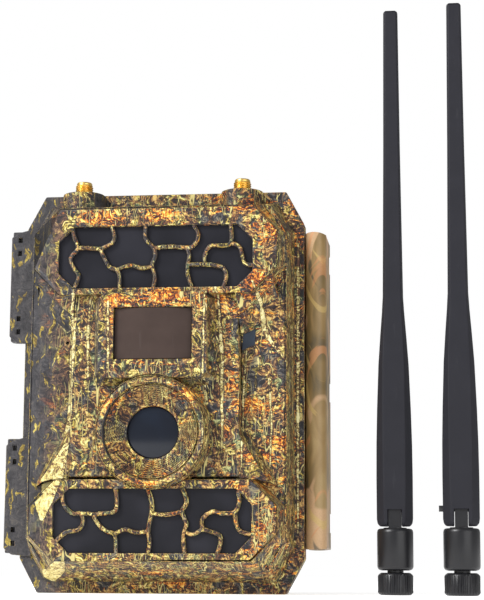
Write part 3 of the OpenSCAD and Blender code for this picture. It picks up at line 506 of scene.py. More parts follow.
@dataclass(frozen=True)
class Glass:
    """Dark coated glass or a glossy pane that shows nothing behind it, with a painted reflection that
    lightens it at grazing angles.
    """

    name: str
    tint: Colour
    drift_and_sheen_tint: Colour
    gloss: float
    coat: float = 0.0
    shine: float = 0.5

    def build(self) -> Material:
        """Build the glass's material."""
        sh = Shader(self.name)
        grazing_sheen = sh.node("ShaderNodeLayerWeight", {"Blend": 0.3}).outputs["Facing"]
        slow = sh.noise(sh.place, 0.05, 2.0)
        dust = sh.noise(sh.place, 3.0, 2.0, 0.7)
        # Painted reflection: slow noise drifts the tint, and the tint is lightened towards grazing angles as
        # a painted reflection.
        colour = sh.mix(sh.step(sh.math("ADD", slow, sh.math("MULTIPLY", grazing_sheen, 0.1)), 0.4, 0.7), self.tint,
                        self.drift_and_sheen_tint)
        colour = sh.mix(sh.both(sh.step(dust, 0.72, 0.8), 0.12), colour, srgb(150, 150, 150))
        return sh.finish(Base_Color=colour, Roughness=sh.math("MULTIPLY_ADD", dust, 0.05, self.gloss),
                         Specular_IOR_Level=self.shine, Coat_Weight=self.coat, Coat_Roughness=0.03)


@dataclass(frozen=True)
class CellSleeve:
    """Printed sleeve of an AA cell: a dark body, a copper shoulder and bare steel ends."""

    name: str = "cell_label"
    rows: Tuple[float, float] = (17.5, 72.5)
    length: float = 49.5

    def build(self) -> Material:
        """Build the sleeve's material."""
        sh = Shader(self.name)
        _, _, z = sh.split(sh.place)
        fine = sh.noise(sh.place, 1.5, 3.0)
        colour = sh.mix(sh.step(fine, 0.3, 0.7), srgb(30, 64, 92), srgb(40, 80, 110))
        steel = sh.math("MULTIPLY", 0.0, 0.0)
        for low in self.rows:
            run = sh.math("SUBTRACT", z, low)
            inside = sh.both(sh.step(run, -1.0, -0.9), sh.step(run, self.length + 3.0, self.length + 2.0))
            copper = sh.both(inside, sh.step(run, self.length - 13.1, self.length - 12.9))
            colour = sh.mix(copper, colour, srgb(186, 116, 66))
            ends = sh.math("ADD", sh.step(run, 0.8, 0.6), sh.step(run, self.length - 0.8, self.length - 0.6))
            steel = sh.math("ADD", steel, sh.both(inside, sh.math("MINIMUM", ends, 1.0)))
        colour = sh.mix(steel, colour, srgb(190, 190, 188))
        return sh.finish(Base_Color=colour, Metallic=steel,
                         Roughness=sh.math("MULTIPLY_ADD", fine, 0.1, 0.26),
                         Coat_Weight=0.3)


FINISHES: Dict[str, object] = {
    "camo_shell": ForestPrint(),
    "camo_rear": ForestPrint("forest_print_rear", calm=0.12),
    "camo_latch": ReedPrint(),
    "seal_rubber": Moulded("seal_rubber", srgb(26, 26, 27), 0.8, 1.2, 0.06),
    "steel_pin": Metal("steel_pin", srgb(176, 177, 180), 0.3, srgb(140, 138, 134)),
    "black_moulding": Moulded("black_moulding", srgb(42, 43, 45), 0.55),
    "cell_label": CellSleeve(),
    "nickel": Metal("nickel", srgb(196, 192, 182), 0.28, srgb(160, 150, 130)),
    "brass_insert": Metal("brass_insert", srgb(196, 156, 80), 0.34, srgb(140, 100, 50)),
    "smoked_pane": Glass("smoked_pane", srgb(28, 28, 33), srgb(38, 38, 44), 0.3, shine=0.16),
    "circuit_board": Board("circuit_board", srgb(20, 74, 46)),
    "led_epoxy": Glass("led_epoxy", srgb(40, 36, 64), srgb(70, 60, 96), 0.08),
    "pir_plastic": Moulded("pir_plastic", srgb(62, 51, 47), 0.7, 1.2, 0.01, shine=0.1),
    "sensor_can": Metal("sensor_can", srgb(190, 176, 140), 0.36, srgb(150, 130, 96)),
    "lens_glass": Glass("lens_glass", srgb(24, 28, 37), srgb(32, 40, 54), 0.12, 0.0, 0.3),
    "filter_glass": Glass("filter_glass", srgb(70, 110, 140), srgb(110, 80, 140), 0.05, 1.0),
    "cable_jacket": Moulded("cable_jacket", srgb(36, 36, 38), 0.45, 4.0, 0.02),
    "sensor_window": Glass("sensor_window", srgb(44, 50, 60), srgb(60, 70, 84), 0.2),
    "gold_plate": Metal("gold_plate", srgb(244, 206, 118), 0.34, srgb(220, 160, 70)),
    "ptfe": Moulded("ptfe", srgb(236, 233, 224), 0.55, 2.0, 0.01),
    "lcd_panel": Glass("lcd_panel", srgb(12, 14, 18), srgb(26, 32, 44), 0.06, 1.0),
    "key_plastic": Moulded("key_plastic", srgb(186, 187, 184), 0.5, 3.0, 0.02),
    "switch_plastic": Moulded("switch_plastic", srgb(186, 50, 36), 0.45, 3.0, 0.02),
    "card_plastic": Moulded("card_plastic", srgb(30, 44, 84), 0.5, 3.0, 0.02),
    "sim_plastic": Moulded("sim_plastic", srgb(230, 228, 220), 0.5, 3.0, 0.02),
    "antenna_plastic": Moulded("antenna_plastic", srgb(38, 38, 43), 0.5, 5.0, 0.02, drift=0.05, shine=0.12),
    "nut_plastic": Moulded("nut_plastic", srgb(24, 24, 27), 0.34, 4.0, 0.02, shine=0.4),
    "black_pin": Moulded("black_pin", srgb(28, 28, 30), 0.4, 3.0, 0.02),
}


# ---------------------------------------------------------------- shared sizes and mesh work

FLANGE_Y = -20.2
BACK_Y = 20.0
PANEL_Y = -10.0
LED_Z = (115.8, 24.6)
LENS_Z = 54.6


def front(height: float) -> float:
    """Depth of a plane that stands so far in front of the flange."""
    return FLANGE_Y - height


def octagon(width: float, low: float, high: float, cut_x: float, cut_z: float) -> List[Point2]:
    """An outline with straight sides and cut corners."""
    return framed(width, low, high, (cut_x, cut_z), (cut_x, cut_z))


def framed(width: float, low: float, high: float, low_cut: Point2, high_cut: Point2) -> List[Point2]:
    """An outline whose lower and upper corners are cut by different amounts."""
    half = width / 2
    return [(-half + low_cut[0], low), (half - low_cut[0], low), (half, low + low_cut[1]),
            (half, high - high_cut[1]),
            (half - high_cut[0], high), (-half + high_cut[0], high), (-half, high - high_cut[1]),
            (-half, low + low_cut[1])]


def mesh_object(name: str, points: Sequence[Point3], faces: Sequence[Sequence[int]]) -> Object:
    """Make an object from points in millimetres, with its faces turned outwards."""
    mesh = bpy.data.meshes.new(name)
    mesh.from_pydata([tuple(v * MM for v in p) for p in points], [], [list(f) for f in faces])
    made = bmesh.new()
    made.from_mesh(mesh)
    bmesh.ops.remove_doubles(made, verts=made.verts, dist=0.001 * MM)
    bmesh.ops.recalc_face_normals(made, faces=made.faces)
    made.to_mesh(mesh)
    made.free()
    obj = bpy.data.objects.new(name, mesh)
    bpy.context.scene.collection.objects.link(obj)
    return obj


def loft(name: str, rings: Sequence[Sequence[Point3]]) -> Object:
    """A closed solid through rings of equally many points, with flat caps.

    Args:
        name: name of the object.
        rings: the rings in order.

    Returns:
        The new object.
    """
    n = len(rings[0])
    points = [p for ring in rings for p in ring]
    faces = [[k * n + i, k * n + (i + 1) % n, (k + 1) * n + (i + 1) % n, (k + 1) * n + i]
             for k in range(len(rings) - 1) for i in range(n)]
    faces += [list(range(n)), list(range((len(rings) - 1) * n, len(rings) * n))]
    return mesh_object(name, points, faces)


def relief(name: str, *steps: Tuple[Sequence[Point2], float]) -> Object:
    """A solid that stands on the front, through flat outlines at heights above the flange."""
    return loft(name, [[(x, front(h), z) for x, z in outline] for outline, h in steps])


def lathe(name: str, profile: Sequence[Point2], at: Point3, axis: str = "Z", sides: int = 64) -> Object:
    """Turn a closed profile of (radius, place along the axis) about an axis.

    Args:
        name: name of the object.
        profile: the profile's corners; a radius of 0 lies on the axis.
        at: a point on the axis.
        axis: "Z", or "F" for one that points to the front.
        sides: number of facets round.

    Returns:
        The new object.
    """
    points, faces = [], []
    for radius, run in profile:
        for k in range(sides):
            angle = 2 * math.pi * k / sides
            across, up = radius * math.cos(angle), radius * math.sin(angle)
            points.append((at[0] + across, at[1] + up, at[2] + run) if axis == "Z"
                          else (at[0] + across, at[1] - run, at[2] + up))
    count = len(profile)
    for i in range(count):
        j = (i + 1) % count
        if profile[i][0] == 0 and profile[j][0] == 0:
            continue
        for k in range(sides):
            m = (k + 1) % sides
            ring = [i * sides + k, i * sides + m, j * sides + m, j * sides + k]
            if profile[i][0] == 0:
                ring = [ring[0], ring[2], ring[3]]
            elif profile[j][0] == 0:
                ring = [ring[0], ring[1], ring[2]]
            faces.append(ring)
    return mesh_object(name, points, faces)


def settle(obj: Object) -> Object:
    """Turn an object's modifiers into plain mesh and take them off."""
    graph = bpy.context.evaluated_depsgraph_get()
    graph.update()
    made = bpy.data.meshes.new_from_object(obj.evaluated_get(graph))
    old = obj.data
    obj.modifiers.clear()
    obj.data = made
    made.name = obj.name
    if isinstance(old, bpy.types.Mesh):
        bpy.data.meshes.remove(old)
    return obj


def carve(target: Object, tool: Object, operation: str = "DIFFERENCE", overlaps: bool = False) -> Object:
    """Join a tool to a solid or cut it away, and throw the tool away.

    Args:
        target: the solid that stays.
        tool: the solid that is used up.
        operation: "UNION" or "DIFFERENCE".
        overlaps: whether the tool's own bodies overlap one another.

    Returns:
        The target.
    """
    change = target.modifiers.new("carve", "BOOLEAN")
    change.object = tool
    change.operation = operation
    change.solver = "EXACT"
    change.use_self = overlaps
    settle(target)
    bpy.data.objects.remove(tool)
    return target


def gather(name: str, parts: Sequence[Object]) -> Object:
    """Put several objects' meshes into one object, and throw them away."""
    made = bmesh.new()
    for part in parts:
        made.from_mesh(part.data)
        bpy.data.objects.remove(part)
    mesh = bpy.data.meshes.new(name)
    made.to_mesh(mesh)
    made.free()
    obj = bpy.data.objects.new(name, mesh)
    bpy.context.scene.collection.objects.link(obj)
    return obj


def copy_of(node: str, name: str) -> Object:
    """A welded copy of a CAD node with its flat faces made whole."""
    mesh = frame["nodes"][node].data.copy()
    mesh.name = name
    made = bmesh.new()
    made.from_mesh(mesh)
    bmesh.ops.remove_doubles(made, verts=made.verts, dist=0.002 * MM)
    bmesh.ops.dissolve_limit(made, angle_limit=math.radians(0.6), verts=made.verts, edges=made.edges)
    made.to_mesh(mesh)
    made.free()
    for attribute in [a.name for a in mesh.attributes if a.name in ("custom_normal", "sharp_face")]:
        mesh.attributes.remove(mesh.attributes[attribute])
    obj = bpy.data.objects.new(name, mesh)
    bpy.context.scene.collection.objects.link(obj)
    return obj


def ease(obj: Object, width: float, angle: float = 28.0, segments: int = 2, shortest: float = 0.7) -> Object:
    """Round the sharp edges of a solid and shade it smooth between the rest.

    Args:
        obj: the solid.
        width: width of the rounding in millimetres.
        angle: edges flatter than this many degrees stay.
        segments: facets across the rounding.
        shortest: edges shorter than this many millimetres stay.

    Returns:
        The same object.
    """
    made = bmesh.new()
    made.from_mesh(obj.data)
    weight = made.edges.layers.float.new("bevel_weight_edge")
    chosen = {edge for edge in made.edges if len(edge.link_faces) == 2 and edge.is_convex
              and edge.calc_face_angle(0.0) > math.radians(angle) and edge.calc_length() > shortest * MM}
    for vertex in made.verts:
        ends = [(edge, (edge.other_vert(vertex).co - vertex.co).normalized())
                for edge in vertex.link_edges if edge in chosen]
        narrow = {edge for edge, way in ends for other, other_way in ends
                  if other is not edge and way.dot(other_way) > 0.9}
        chosen -= narrow
    for edge in chosen:
        edge[weight] = 1.0
    made.to_mesh(obj.data)
    made.free()
    smooth(obj)
    change = obj.modifiers.new("ease", "BEVEL")
    change.limit_method = "WEIGHT"
    change.width = width * MM
    change.segments = segments
    change.use_clamp_overlap = False
    change.harden_normals = True
    change.miter_outer = "MITER_ARC" if segments > 2 else "MITER_SHARP"
    return settle(obj)


def smooth(obj: Object, angle: float = 32.0) -> Object:
    """Shade a mesh smooth where it bends less than an angle in degrees."""
    obj.data.shade_smooth()
    obj.data.set_sharp_from_angle(angle=math.radians(angle))
    return obj


class Finishes:
    """Builds each slot's material once and dresses pieces with it."""

    def __init__(self) -> None:
        """Build the materials of all slots."""
        self.made: Dict[str, Material] = {slot: finish.build() for slot, finish in FINISHES.items()}

    def give(self, obj: Object, slot: str) -> None:
        """Put one slot's material on the whole of an object."""
        obj.data.materials.clear()
        obj.data.materials.append(self.made[slot])
        for face in obj.data.polygons:
            face.material_index = 0

    def hand_over(self, obj: Object, body: str, slot: str, *nodes: str) -> Object:
        """Dress a finished piece, ride it on its body and let it stand for its CAD nodes.

        Args:
            obj: the piece.
            body: the CAD body that it moves with.
            slot: the record's material slot.
            nodes: CAD nodes that it replaces.

        Returns:
            The piece.
        """
        self.give(obj, slot)
        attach(obj, body)
        if nodes:
            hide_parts(*nodes)
        log.info("%s: %d faces on %s", obj.name, len(obj.data.polygons), body)
        return obj


# ---------------------------------------------------------------- geometry node trees

class Tree:
    """A geometry node tree with named inputs, built for one kind of repeat."""

    def __init__(self, name: str, **inputs: str) -> None:
        """Start a tree.

        Args:
            name: name of the tree.
            inputs: input name, with underscores for spaces, to its socket type.
        """
        self.tree = bpy.data.node_groups.new(name, "GeometryNodeTree")
        face = self.tree.interface
        face.new_socket("Geometry", in_out="INPUT", socket_type="NodeSocketGeometry")
        self.keys: Dict[str, str] = {}
        for label, kind in inputs.items():
            title = label.replace("_", " ").capitalize()
            self.keys[label] = face.new_socket(title, in_out="INPUT", socket_type=kind).identifier
        face.new_socket("Geometry", in_out="OUTPUT", socket_type="NodeSocketGeometry")
        self.start = self.tree.nodes.new("NodeGroupInput")
        self.end = self.tree.nodes.new("NodeGroupOutput")

    def node(self, kind: str, inputs: Optional[dict] = None, **props: object) -> bpy.types.Node:
        """Add a node, set its properties, and set or link its inputs."""
        made = self.tree.nodes.new(kind)
        for key, value in props.items():
            setattr(made, key, value)
        for key, value in (inputs or {}).items():
            if isinstance(value, bpy.types.NodeSocket):
                self.tree.links.new(value, made.inputs[key])
            else:
                made.inputs[key].default_value = value
        return made

    def given(self, label: str) -> Socket:
        """The socket of one of the tree's own inputs."""
        return self.start.outputs[label.replace("_", " ").capitalize()]

    def close(self, geometry: Socket, material: Socket) -> None:
        """End the tree: make instances real and set their material."""
        real = self.node("GeometryNodeRealizeInstances", {0: geometry})
        dressed = self.node("GeometryNodeSetMaterial", {"Geometry": real.outputs[0], "Material": material})
        self.tree.links.new(dressed.outputs[0], self.end.inputs[0])

    def run(self, obj: Object, **values: object) -> Object:
        """Run the tree on an object and leave its result as plain mesh.

        Args:
            obj: object that carries the points or lines.
            values: a value for each of the tree's inputs.

        Returns:
            The same object.
        """
        change = obj.modifiers.new(self.tree.name, "NODES")
        change.node_group = self.tree
        for label, value in values.items():
            change[self.keys[label]] = value
        return settle(obj)


def copies_tree() -> Tree:
    """Tree that puts a shape on every point, turned about the given axis step by step."""
    tree = Tree("copies_on_points", shape="NodeSocketObject", turn_step="NodeSocketVector",
                material="NodeSocketMaterial")
    shape = tree.node("GeometryNodeObjectInfo", {"Object": tree.given("shape")})
    index = tree.node("GeometryNodeInputIndex")
    turn = tree.node("ShaderNodeVectorMath", {0: tree.given("turn_step"), "Scale": index.outputs[0]},
                     operation="SCALE")
    spread = tree.node("GeometryNodeInstanceOnPoints", {
        "Points": tree.start.outputs[0], "Instance": shape.outputs["Geometry"], "Rotation": turn.outputs[0]})
    tree.close(spread.outputs[0], tree.given("material"))
    return tree


def rods_tree() -> Tree:
    """Tree that thickens lines into rods of a set section."""
    tree = Tree("rods_on_lines", width="NodeSocketFloat", depth="NodeSocketFloat", sides="NodeSocketInt",
                material="NodeSocketMaterial")
    lines = tree.node("GeometryNodeMeshToCurve", {0: tree.start.outputs[0]})
    round_bar = tree.node("GeometryNodeCurvePrimitiveCircle", {
        "Resolution": tree.given("sides"), "Radius": 0.5}, mode="RADIUS")
    size = tree.node("ShaderNodeCombineXYZ", {0: tree.given("width"), 1: tree.given("depth"), 2: 1.0})
    section = tree.node("GeometryNodeTransform", {"Geometry": round_bar.outputs[0], "Scale": size.outputs[0]})
    upright = tree.node("GeometryNodeSetCurveNormal", {0: lines.outputs[0]})
    rods = tree.node("GeometryNodeCurveToMesh", {
        "Curve": upright.outputs[0], "Profile Curve": section.outputs[0], "Fill Caps": True})
    tree.close(rods.outputs[0], tree.given("material"))
    return tree


def lines_object(name: str, paths: Sequence[Sequence[Point3]]) -> Object:
    """Loose lines through points in millimetres, for a tree to work on."""
    mesh = bpy.data.meshes.new(name)
    points: List[Point3] = []
    edges: List[Tuple[int, int]] = []
    for path in paths:
        first = len(points)
        points += [tuple(v * MM for v in p) for p in path]
        edges += [(first + i, first + i + 1) for i in range(len(path) - 1)]
    mesh.from_pydata(points, edges, [])
    obj = bpy.data.objects.new(name, mesh)
    bpy.context.scene.collection.objects.link(obj)
    return obj


def curved(path: Sequence[Point2], steps: int = 4) -> List[Point2]:
    """A smooth line through the corners of a path."""
    points = list(path)
    result: List[Point2] = []
    for i in range(len(points) - 1):
        before = points[max(i - 1, 0)]
        a, b = points[i], points[i + 1]
        after = points[min(i + 2, len(points) - 1)]
        for k in range(steps):
            t = k / steps
            result.append(tuple(
                0.5 * (2 * a[n] + (b[n] - before[n]) * t
                       + (2 * before[n] - 5 * a[n] + 4 * b[n] - after[n]) * t * t
                       + (3 * a[n] - before[n] - 3 * b[n] + after[n]) * t ** 3) for n in (0, 1)))
    return result + [points[-1]]


# ---------------------------------------------------------------- the case

@dataclass
class FrontCover:
    """Door of the case: flange, sloped LED frames, arms, sensor frame, ports and hinge plates."""

    arm_root: Tuple[Point2, ...] = ((-41.0, 111.0), (-37.6, 110.6), (-35.3, 109.9), (-32.4, 107.8),
                                    (-28.4, 103.6))
    arm_cut: Tuple[Point2, ...] = ((-44, 101), (-30.2, 88.4), (-28.9, 88.4), (-28.9, 97.5), (-33.1, 100.6),
                                   (-38.8, 104.4), (-41.6, 106), (-44, 106))
    arm_ridge: Tuple[Point2, ...] = ((-41.6, 106.6), (-37.6, 108.4), (-35.1, 109.3), (-32.6, 107.4),
                                     (-28.1, 102.4))
    arm_band: Tuple[Point2, ...] = ((-41.6, 106.2), (-38.8, 104.9), (-35.5, 105.4), (-32.1, 102.4),
                                    (-28.6, 99.4))
    arm_groove: Tuple[Point2, ...] = ((-41.6, 106.0), (-39.0, 103.6), (-37.4, 102.2), (-33.1, 98.3),
                                      (-28.7, 94.8))
    arm_foot: Tuple[Point2, ...] = ((-43.2, 100.2), (-42.0, 99.2), (-38.6, 96.2), (-34.0, 92.2),
                                    (-29.6, 88.4))
    foot_ridge: Tuple[Point2, ...] = ((-38.6, 37.8), (-35.4, 38.6), (-32.5, 38.7), (-29.5, 38.7))
    foot_band: Tuple[Point2, ...] = ((-39.6, 38.6), (-36.4, 42.6), (-33.4, 47.4), (-28.8, 55.4))
    foot_foot: Tuple[Point2, ...] = ((-42.6, 36.2), (-39.4, 43.6), (-35.4, 49.8), (-30.2, 57.6))

    def arm(self, side: int) -> Object:
        """One of the two upper arms, as three terraces that step down to the bay."""
        rings = []
        for root, ridge, band, groove, foot in zip(self.arm_root, self.arm_ridge, self.arm_band,
                                                   self.arm_groove,
                                                   self.arm_foot):
            rings.append([(side * -p[0], front(h), p[1]) for p, h in (
                (root, 19.8), (ridge, 19.8), (band, 18.0), (groove, 17.4), (groove, 16.4), (foot, 11.9),
                                                                      (foot, 10.6),
                (groove, 10.6), (ridge, 18.5), (root, 18.5))])
        return loft("arm", rings)

    def arm_space(self, side: int) -> Object:
        """Room that is cleared in the plain shell for an arm's lower terraces."""
        outline = [(side * -x, z) for x, z in self.arm_cut]
        return relief("arm_space", (outline, 12.02), (outline, 25.0))

    def leg(self, side: int) -> Object:
        """One of the two lower flares of the middle plateau."""
        rings = []
        for ridge, band, foot in zip(self.foot_ridge, self.foot_band, self.foot_foot):
            rings.append([(side * -p[0], front(h), p[1]) for p, h in (
                (ridge, 17.6), (band, 16.9), (foot, 11.9), (foot, 10.6), (ridge, 10.6))])
        return loft("leg", rings)

    def skirt(self, foot: Sequence[Point2], top: Sequence[Point2], core: Sequence[Point2]) -> Object:
        """Sloped wall round an LED frame, from its foot on the raised panel up to its top."""
        outer = relief("skirt", (foot, 9.0), (top, 20.0))
        return carve(outer, relief("skirt_core", (core, 8.0), (core, 21.0)))

    def build(self, kit: Finishes) -> None:
        """Make the cover from the CAD shell and its own relief."""
        cover = copy_of("front_cover", "front_cover_shell")
        upper = self.skirt(framed(91.4, 102.3, 136.1, (11, 11), (6.6, 11)), octagon(85.4, 102.6, 133.6, 9, 9),
                           octagon(84, 104.2, 132.4, 9, 9))
        lower = self.skirt(framed(91.4, 7.0, 39.0, (6.6, 11), (9, 9)), octagon(85.4, 10.8, 38.6, 9, 9),
                           octagon(84, 12.0, 37.4, 9, 9))
        for side in (-1, 1):
            carve(cover, self.arm_space(side))
        carve(cover, upper, "UNION")
        carve(cover, lower, "UNION")
        for side in (-1, 1):
            carve(cover, self.arm(side), "UNION")
            carve(cover, self.leg(side), "UNION")
        frame_foot = relief("frame_foot", (octagon(43.4, 70.6, 103.6, 2.6, 2.6), 16.2),
                            (octagon(37.2, 73.4, 102.4, 2.0, 2.0), 22.6))
        carve(frame_foot, relief("frame_core", (octagon(34.0, 75.0, 100.8, 2.0, 2.0), 15.0),
                                 (octagon(34.0, 75.0, 100.8, 2.0, 2.0), 24.0)))
        carve(cover, frame_foot, "UNION")
        hood = lathe("hood_foot", [(19.25, 16.0), (20.3, 16.0), (20.3, 17.1), (19.25, 18.6)],
                     (0, FLANGE_Y, LENS_Z),
                     "F", 96)
        carve(cover, hood, "UNION")
        ease(cover, 0.42)
        kit.hand_over(cover, "door", "camo_shell", "front_cover")


@dataclass
class Grilles:
    """Cracked-mud webs in front of the two LED panes."""

    width: float = 1.62
    depth: float = 1.5
    sides: int = 10
    height: float = 19.2
    upper: Tuple[Tuple[Point2, ...], ...] = (
        ((-29.5, 10.9), (-29, 8), (-27.5, 3.5), (-29.5, 1), (-30, -1), (-28.5, -4), (-27, -6.5),
         (-28.5, -10.9)),
        ((-27.5, 3.5), (-24, 3.5), (-19, 3)),
        ((-15.5, 10.9), (-14.5, 7.5), (-15.5, 5), (-19, 3), (-18, 0), (-16, -3.5), (-13.5, -4.5),
         (-12.5, -6.5),
         (-12.5, -10.9)),
        ((-13.5, -4.5), (-9, -3), (-4.5, -4), (-1, -3.5)),
        ((-3.5, 10.9), (-3.5, 6.5), (-0.5, 3), (0, 0), (-1, -3), (0, -7), (-0.5, -10.9)),
        ((-0.5, 3), (5, 3.5), (11, 3), (12.5, 3), (14.5, 5), (15, 8), (13.5, 10.9)),
        ((11, 3), (12, 0.5), (11.5, -3), (11.5, -6.5), (13, -10.9)),
        ((11.5, -3), (17.5, -3), (21, -3.5), (24, -4.5), (25, -7.5), (24, -10.9)),
        ((17.5, -3), (17.5, 0.5), (19.5, 3.5), (23, 3.5), (26.5, 4.5), (26.5, 10.9)),
        ((26.5, 4.5), (29.5, 3), (30.5, 0), (31.5, -3), (34.1, -3.5)))
    lower: Tuple[Tuple[Point2, ...], ...] = (
        ((-31, 9), (-30.5, 5.5), (-27.5, 2.5), (-24.5, 2.5), (-19.5, 2)),
        ((-24.5, 2.5), (-23.5, 0), (-25, -3), (-29.5, -4), (-33, -7)),
        ((-12.5, 10.9), (-12, 6), (-13, 3), (-19.5, 2), (-18, -1.5), (-15.5, -3.5), (-12.5, -5),
         (-12, -10.9)),
        ((-12.5, -4.5), (-9, -3), (-5, -4), (-1, -3.5)),
        ((-1.5, 10.9), (0, 6.5), (0, 2.5), (-1, -3), (-0.5, -7), (-1, -10.9)),
        ((0.5, 2.5), (5, 2), (10.5, 3)),
        ((10.5, 10.9), (12, 6.5), (10.5, 3), (12, -1), (11, -5), (11.5, -10.9)),
        ((12, -4), (14.5, -4.5), (17.5, -3), (20, -3.5), (23.5, -5), (23.5, -8.5), (22.5, -10.9)),
        ((17.5, -3), (17.5, 0.5), (20.5, 3), (24.5, 2.5), (28.5, 3), (30, 6.5), (29.5, 10)),
        ((28.5, 3), (29, -1), (30.5, -3.5), (34.1, -4.5)))

    def build(self, kit: Finishes) -> None:
        """Make both webs from their lines."""
        tree = rods_tree()
        for name, veins, z in (("upper", self.upper, LED_Z[0]), ("lower", self.lower, LED_Z[1])):
            paths = [[(x, front(self.height), z + v) for x, v in curved(vein)] for vein in veins]
            web = tree.run(lines_object(f"led_web_{name}", paths), width=self.width * MM,
                           depth=self.depth * MM,
                           sides=self.sides, material=kit.made["camo_shell"])
            smooth(web, 60)
            kit.hand_over(web, "door", "camo_shell", f"led_grille_{name}")


@dataclass
class LensHood:
    """Round hood: rounded rim, a thin ridge and a ribbed cone down to the glass."""

    outer: float = 19.5
    glass: float = 9.1
    ribs: int = 10
    rib_depth: float = 0.32

    def profile(self) -> List[Point2]:
        """Half section of the hood: radius and height above the flange."""
        rim = [(self.outer, 18.7), (self.outer, 22.6), (19.4, 23.0), (19.1, 23.3), (18.9, 23.1),
               (18.75, 23.1),
               (18.6, 24.0), (18.2, 24.3), (17.6, 24.4), (17.0, 24.3), (16.6, 23.9), (16.45, 23.3),
               (16.3, 22.5),
               (16.1, 22.5)]
        cone = []
        top, bottom = (15.9, 22.9), (self.glass + 0.5, 19.9)
        steps = self.ribs * 4
        for k in range(steps + 1):
            t = k / steps
            wave = (0.0, 1.0, 1.0, 0.0)[k % 4] * self.rib_depth
            cone.append((top[0] + (bottom[0] - top[0]) * t + wave * 0.35,
                         top[1] + (bottom[1] - top[1]) * t + wave))
        return rim + cone + [(self.glass, 19.7), (self.glass, 18.7)]

    def build(self, kit: Finishes) -> None:
        """Make the hood and the domed glass in it."""
        hood = lathe("lens_hood_ribbed", self.profile(), (0, FLANGE_Y, LENS_Z), "F", 128)
        smooth(hood, 50)
        kit.hand_over(hood, "door", "camo_shell", "lens_hood")
        pane = lathe("lens_pane", [(0, 17.2), (9.0, 17.2), (9.0, 18.3), (8.85, 18.5), (8.5, 18.6), (0, 18.6)],
                     (0, FLANGE_Y, LENS_Z), "F", 96)
        smooth(pane, 40)
        kit.hand_over(pane, "door", "lens_glass", "lens_window")


@dataclass
class SensorWindow:
    """Bowed milky window over the motion sensor, with a fine inner edge."""

    half: float = 13.55
    low: float = 79.55
    high: float = 97.45
    bow: float = 60.0
    thickness: float = 1.2

    def build(self, kit: Finishes) -> None:
        """Make the window as a curved plate with eased edges."""
        columns = 24
        outer, inner = [], []
        for k in range(columns + 1):
            x = -self.half + 2 * self.half * k / columns
            sag = self.bow - math.sqrt(self.bow ** 2 - x ** 2)
            outer.append((x, front(23.1) + sag))
            inner.append((x, front(23.1) + sag + self.thickness))
        ring = outer + inner[::-1]
        plate = loft("motion_window", [[(x, y, z) for x, y in ring] for z in (self.low, self.high)])
        ease(plate, 0.3)
        kit.hand_over(plate, "door", "pir_plastic", "pir_window")


@dataclass
class Ports:
    """Gold aerial ports: a threaded nose with a thin chamfer, and a white sleeve inside."""

    x: float = 28.75
    y: float = -25.1
    low: float = 141.4
    high: float = 146.0
    crest: float = 3.17
    root: float = 2.78
    pitch: float = 0.7
    bore: float = 2.05

    def thread(self, x: float) -> Object:
        """One nose with a helical thread on it."""
        sides, steps = 48, 8
        turns = (self.high - self.low - 0.5) / self.pitch
        rows = int(turns * steps)
        points: List[Point3] = []
        for r in range(rows + 1):
            run = r / steps
            for k in range(sides):
                angle = 2 * math.pi * k / sides
                wave = 0.5 + 0.5 * math.cos(2 * math.pi * (run - k / sides))
                fade = min(1.0, max(0.0, (self.high - 0.9 - self.low - run * self.pitch) / 0.5))
                radius = self.root + (self.crest - self.root) * wave * fade
                points.append((x + radius * math.cos(angle), self.y + radius * math.sin(angle),
                               self.low + run * self.pitch))
        rings = [points[i:i + sides] for i in range(0, len(points), sides)]
        for radius, z in ((2.75, self.high - 0.35), (2.5, self.high), (self.bore, self.high),
                          (self.bore, 132.0),
                          (0.8, 132.0), (0.8, 131.0), (3.0, 131.0), (3.0, self.low - 0.6)):
            rings.append([(x + radius * math.cos(2 * math.pi * k / sides),
                           self.y + radius * math.sin(2 * math.pi * k / sides), z) for k in range(sides)])
        n = sides
        count = len(rings)
        faces = [[r * n + i, r * n + (i + 1) % n, ((r + 1) % count) * n + (i + 1) % n,
                  ((r + 1) % count) * n + i]
                 for r in range(count) for i in range(n)]
        return mesh_object("port", [p for ring in rings for p in ring], faces)

    def build(self, kit: Finishes) -> None:
        """Make both ports."""
        both = gather("aerial_ports", [self.thread(x) for x in (-self.x, self.x)])
        smooth(both, 40)
        kit.hand_over(both, "door", "gold_plate", "sma_jacks")


@dataclass
class EasedCopies:
    """CAD parts whose shape is right and whose edges want rounding."""

    parts: Tuple[Tuple[str, str, str, str, float], ...] = (
        ("rear_housing", "rear_shell", "housing", "camo_rear", 0.45),
        ("latch_bar", "latch_lever", "latch", "camo_latch", 0.5),
        ("tree_bracket", "bark_bracket", "housing", "black_moulding", 0.35),
        ("inner_panel", "door_liner", "door", "black_moulding", 0.3),
        ("battery_tray", "cell_tray", "housing", "black_moulding", 0.25),
        ("led_pane_upper", "led_pane_glossy_upper", "door", "smoked_pane", 0.2),
        ("led_pane_lower", "led_pane_glossy_lower", "door", "smoked_pane", 0.2),
        ("jack_plug", "jack_bung", "jack_plug", "seal_rubber", 0.15),
        ("mode_switch", "mode_slide", "mode_slider", "switch_plastic", 0.2),
        ("sd_card", "memory_card_shell", "memory_card", "card_plastic", 0.15),
        ("sim_card", "sim_shell", "sim", "sim_plastic", 0.1),
        ("lcd_window", "screen_glass", "door", "lcd_panel", 0.15),
        ("light_sensor", "daylight_window", "door", "sensor_window", 0.15))

    def build(self, kit: Finishes) -> None:
        """Make every copy."""
        for node, name, body, slot, width in self.parts:
            kit.hand_over(ease(copy_of(node, name), width, segments=3 if width >= 0.4 else 2), body, slot,
                          node)


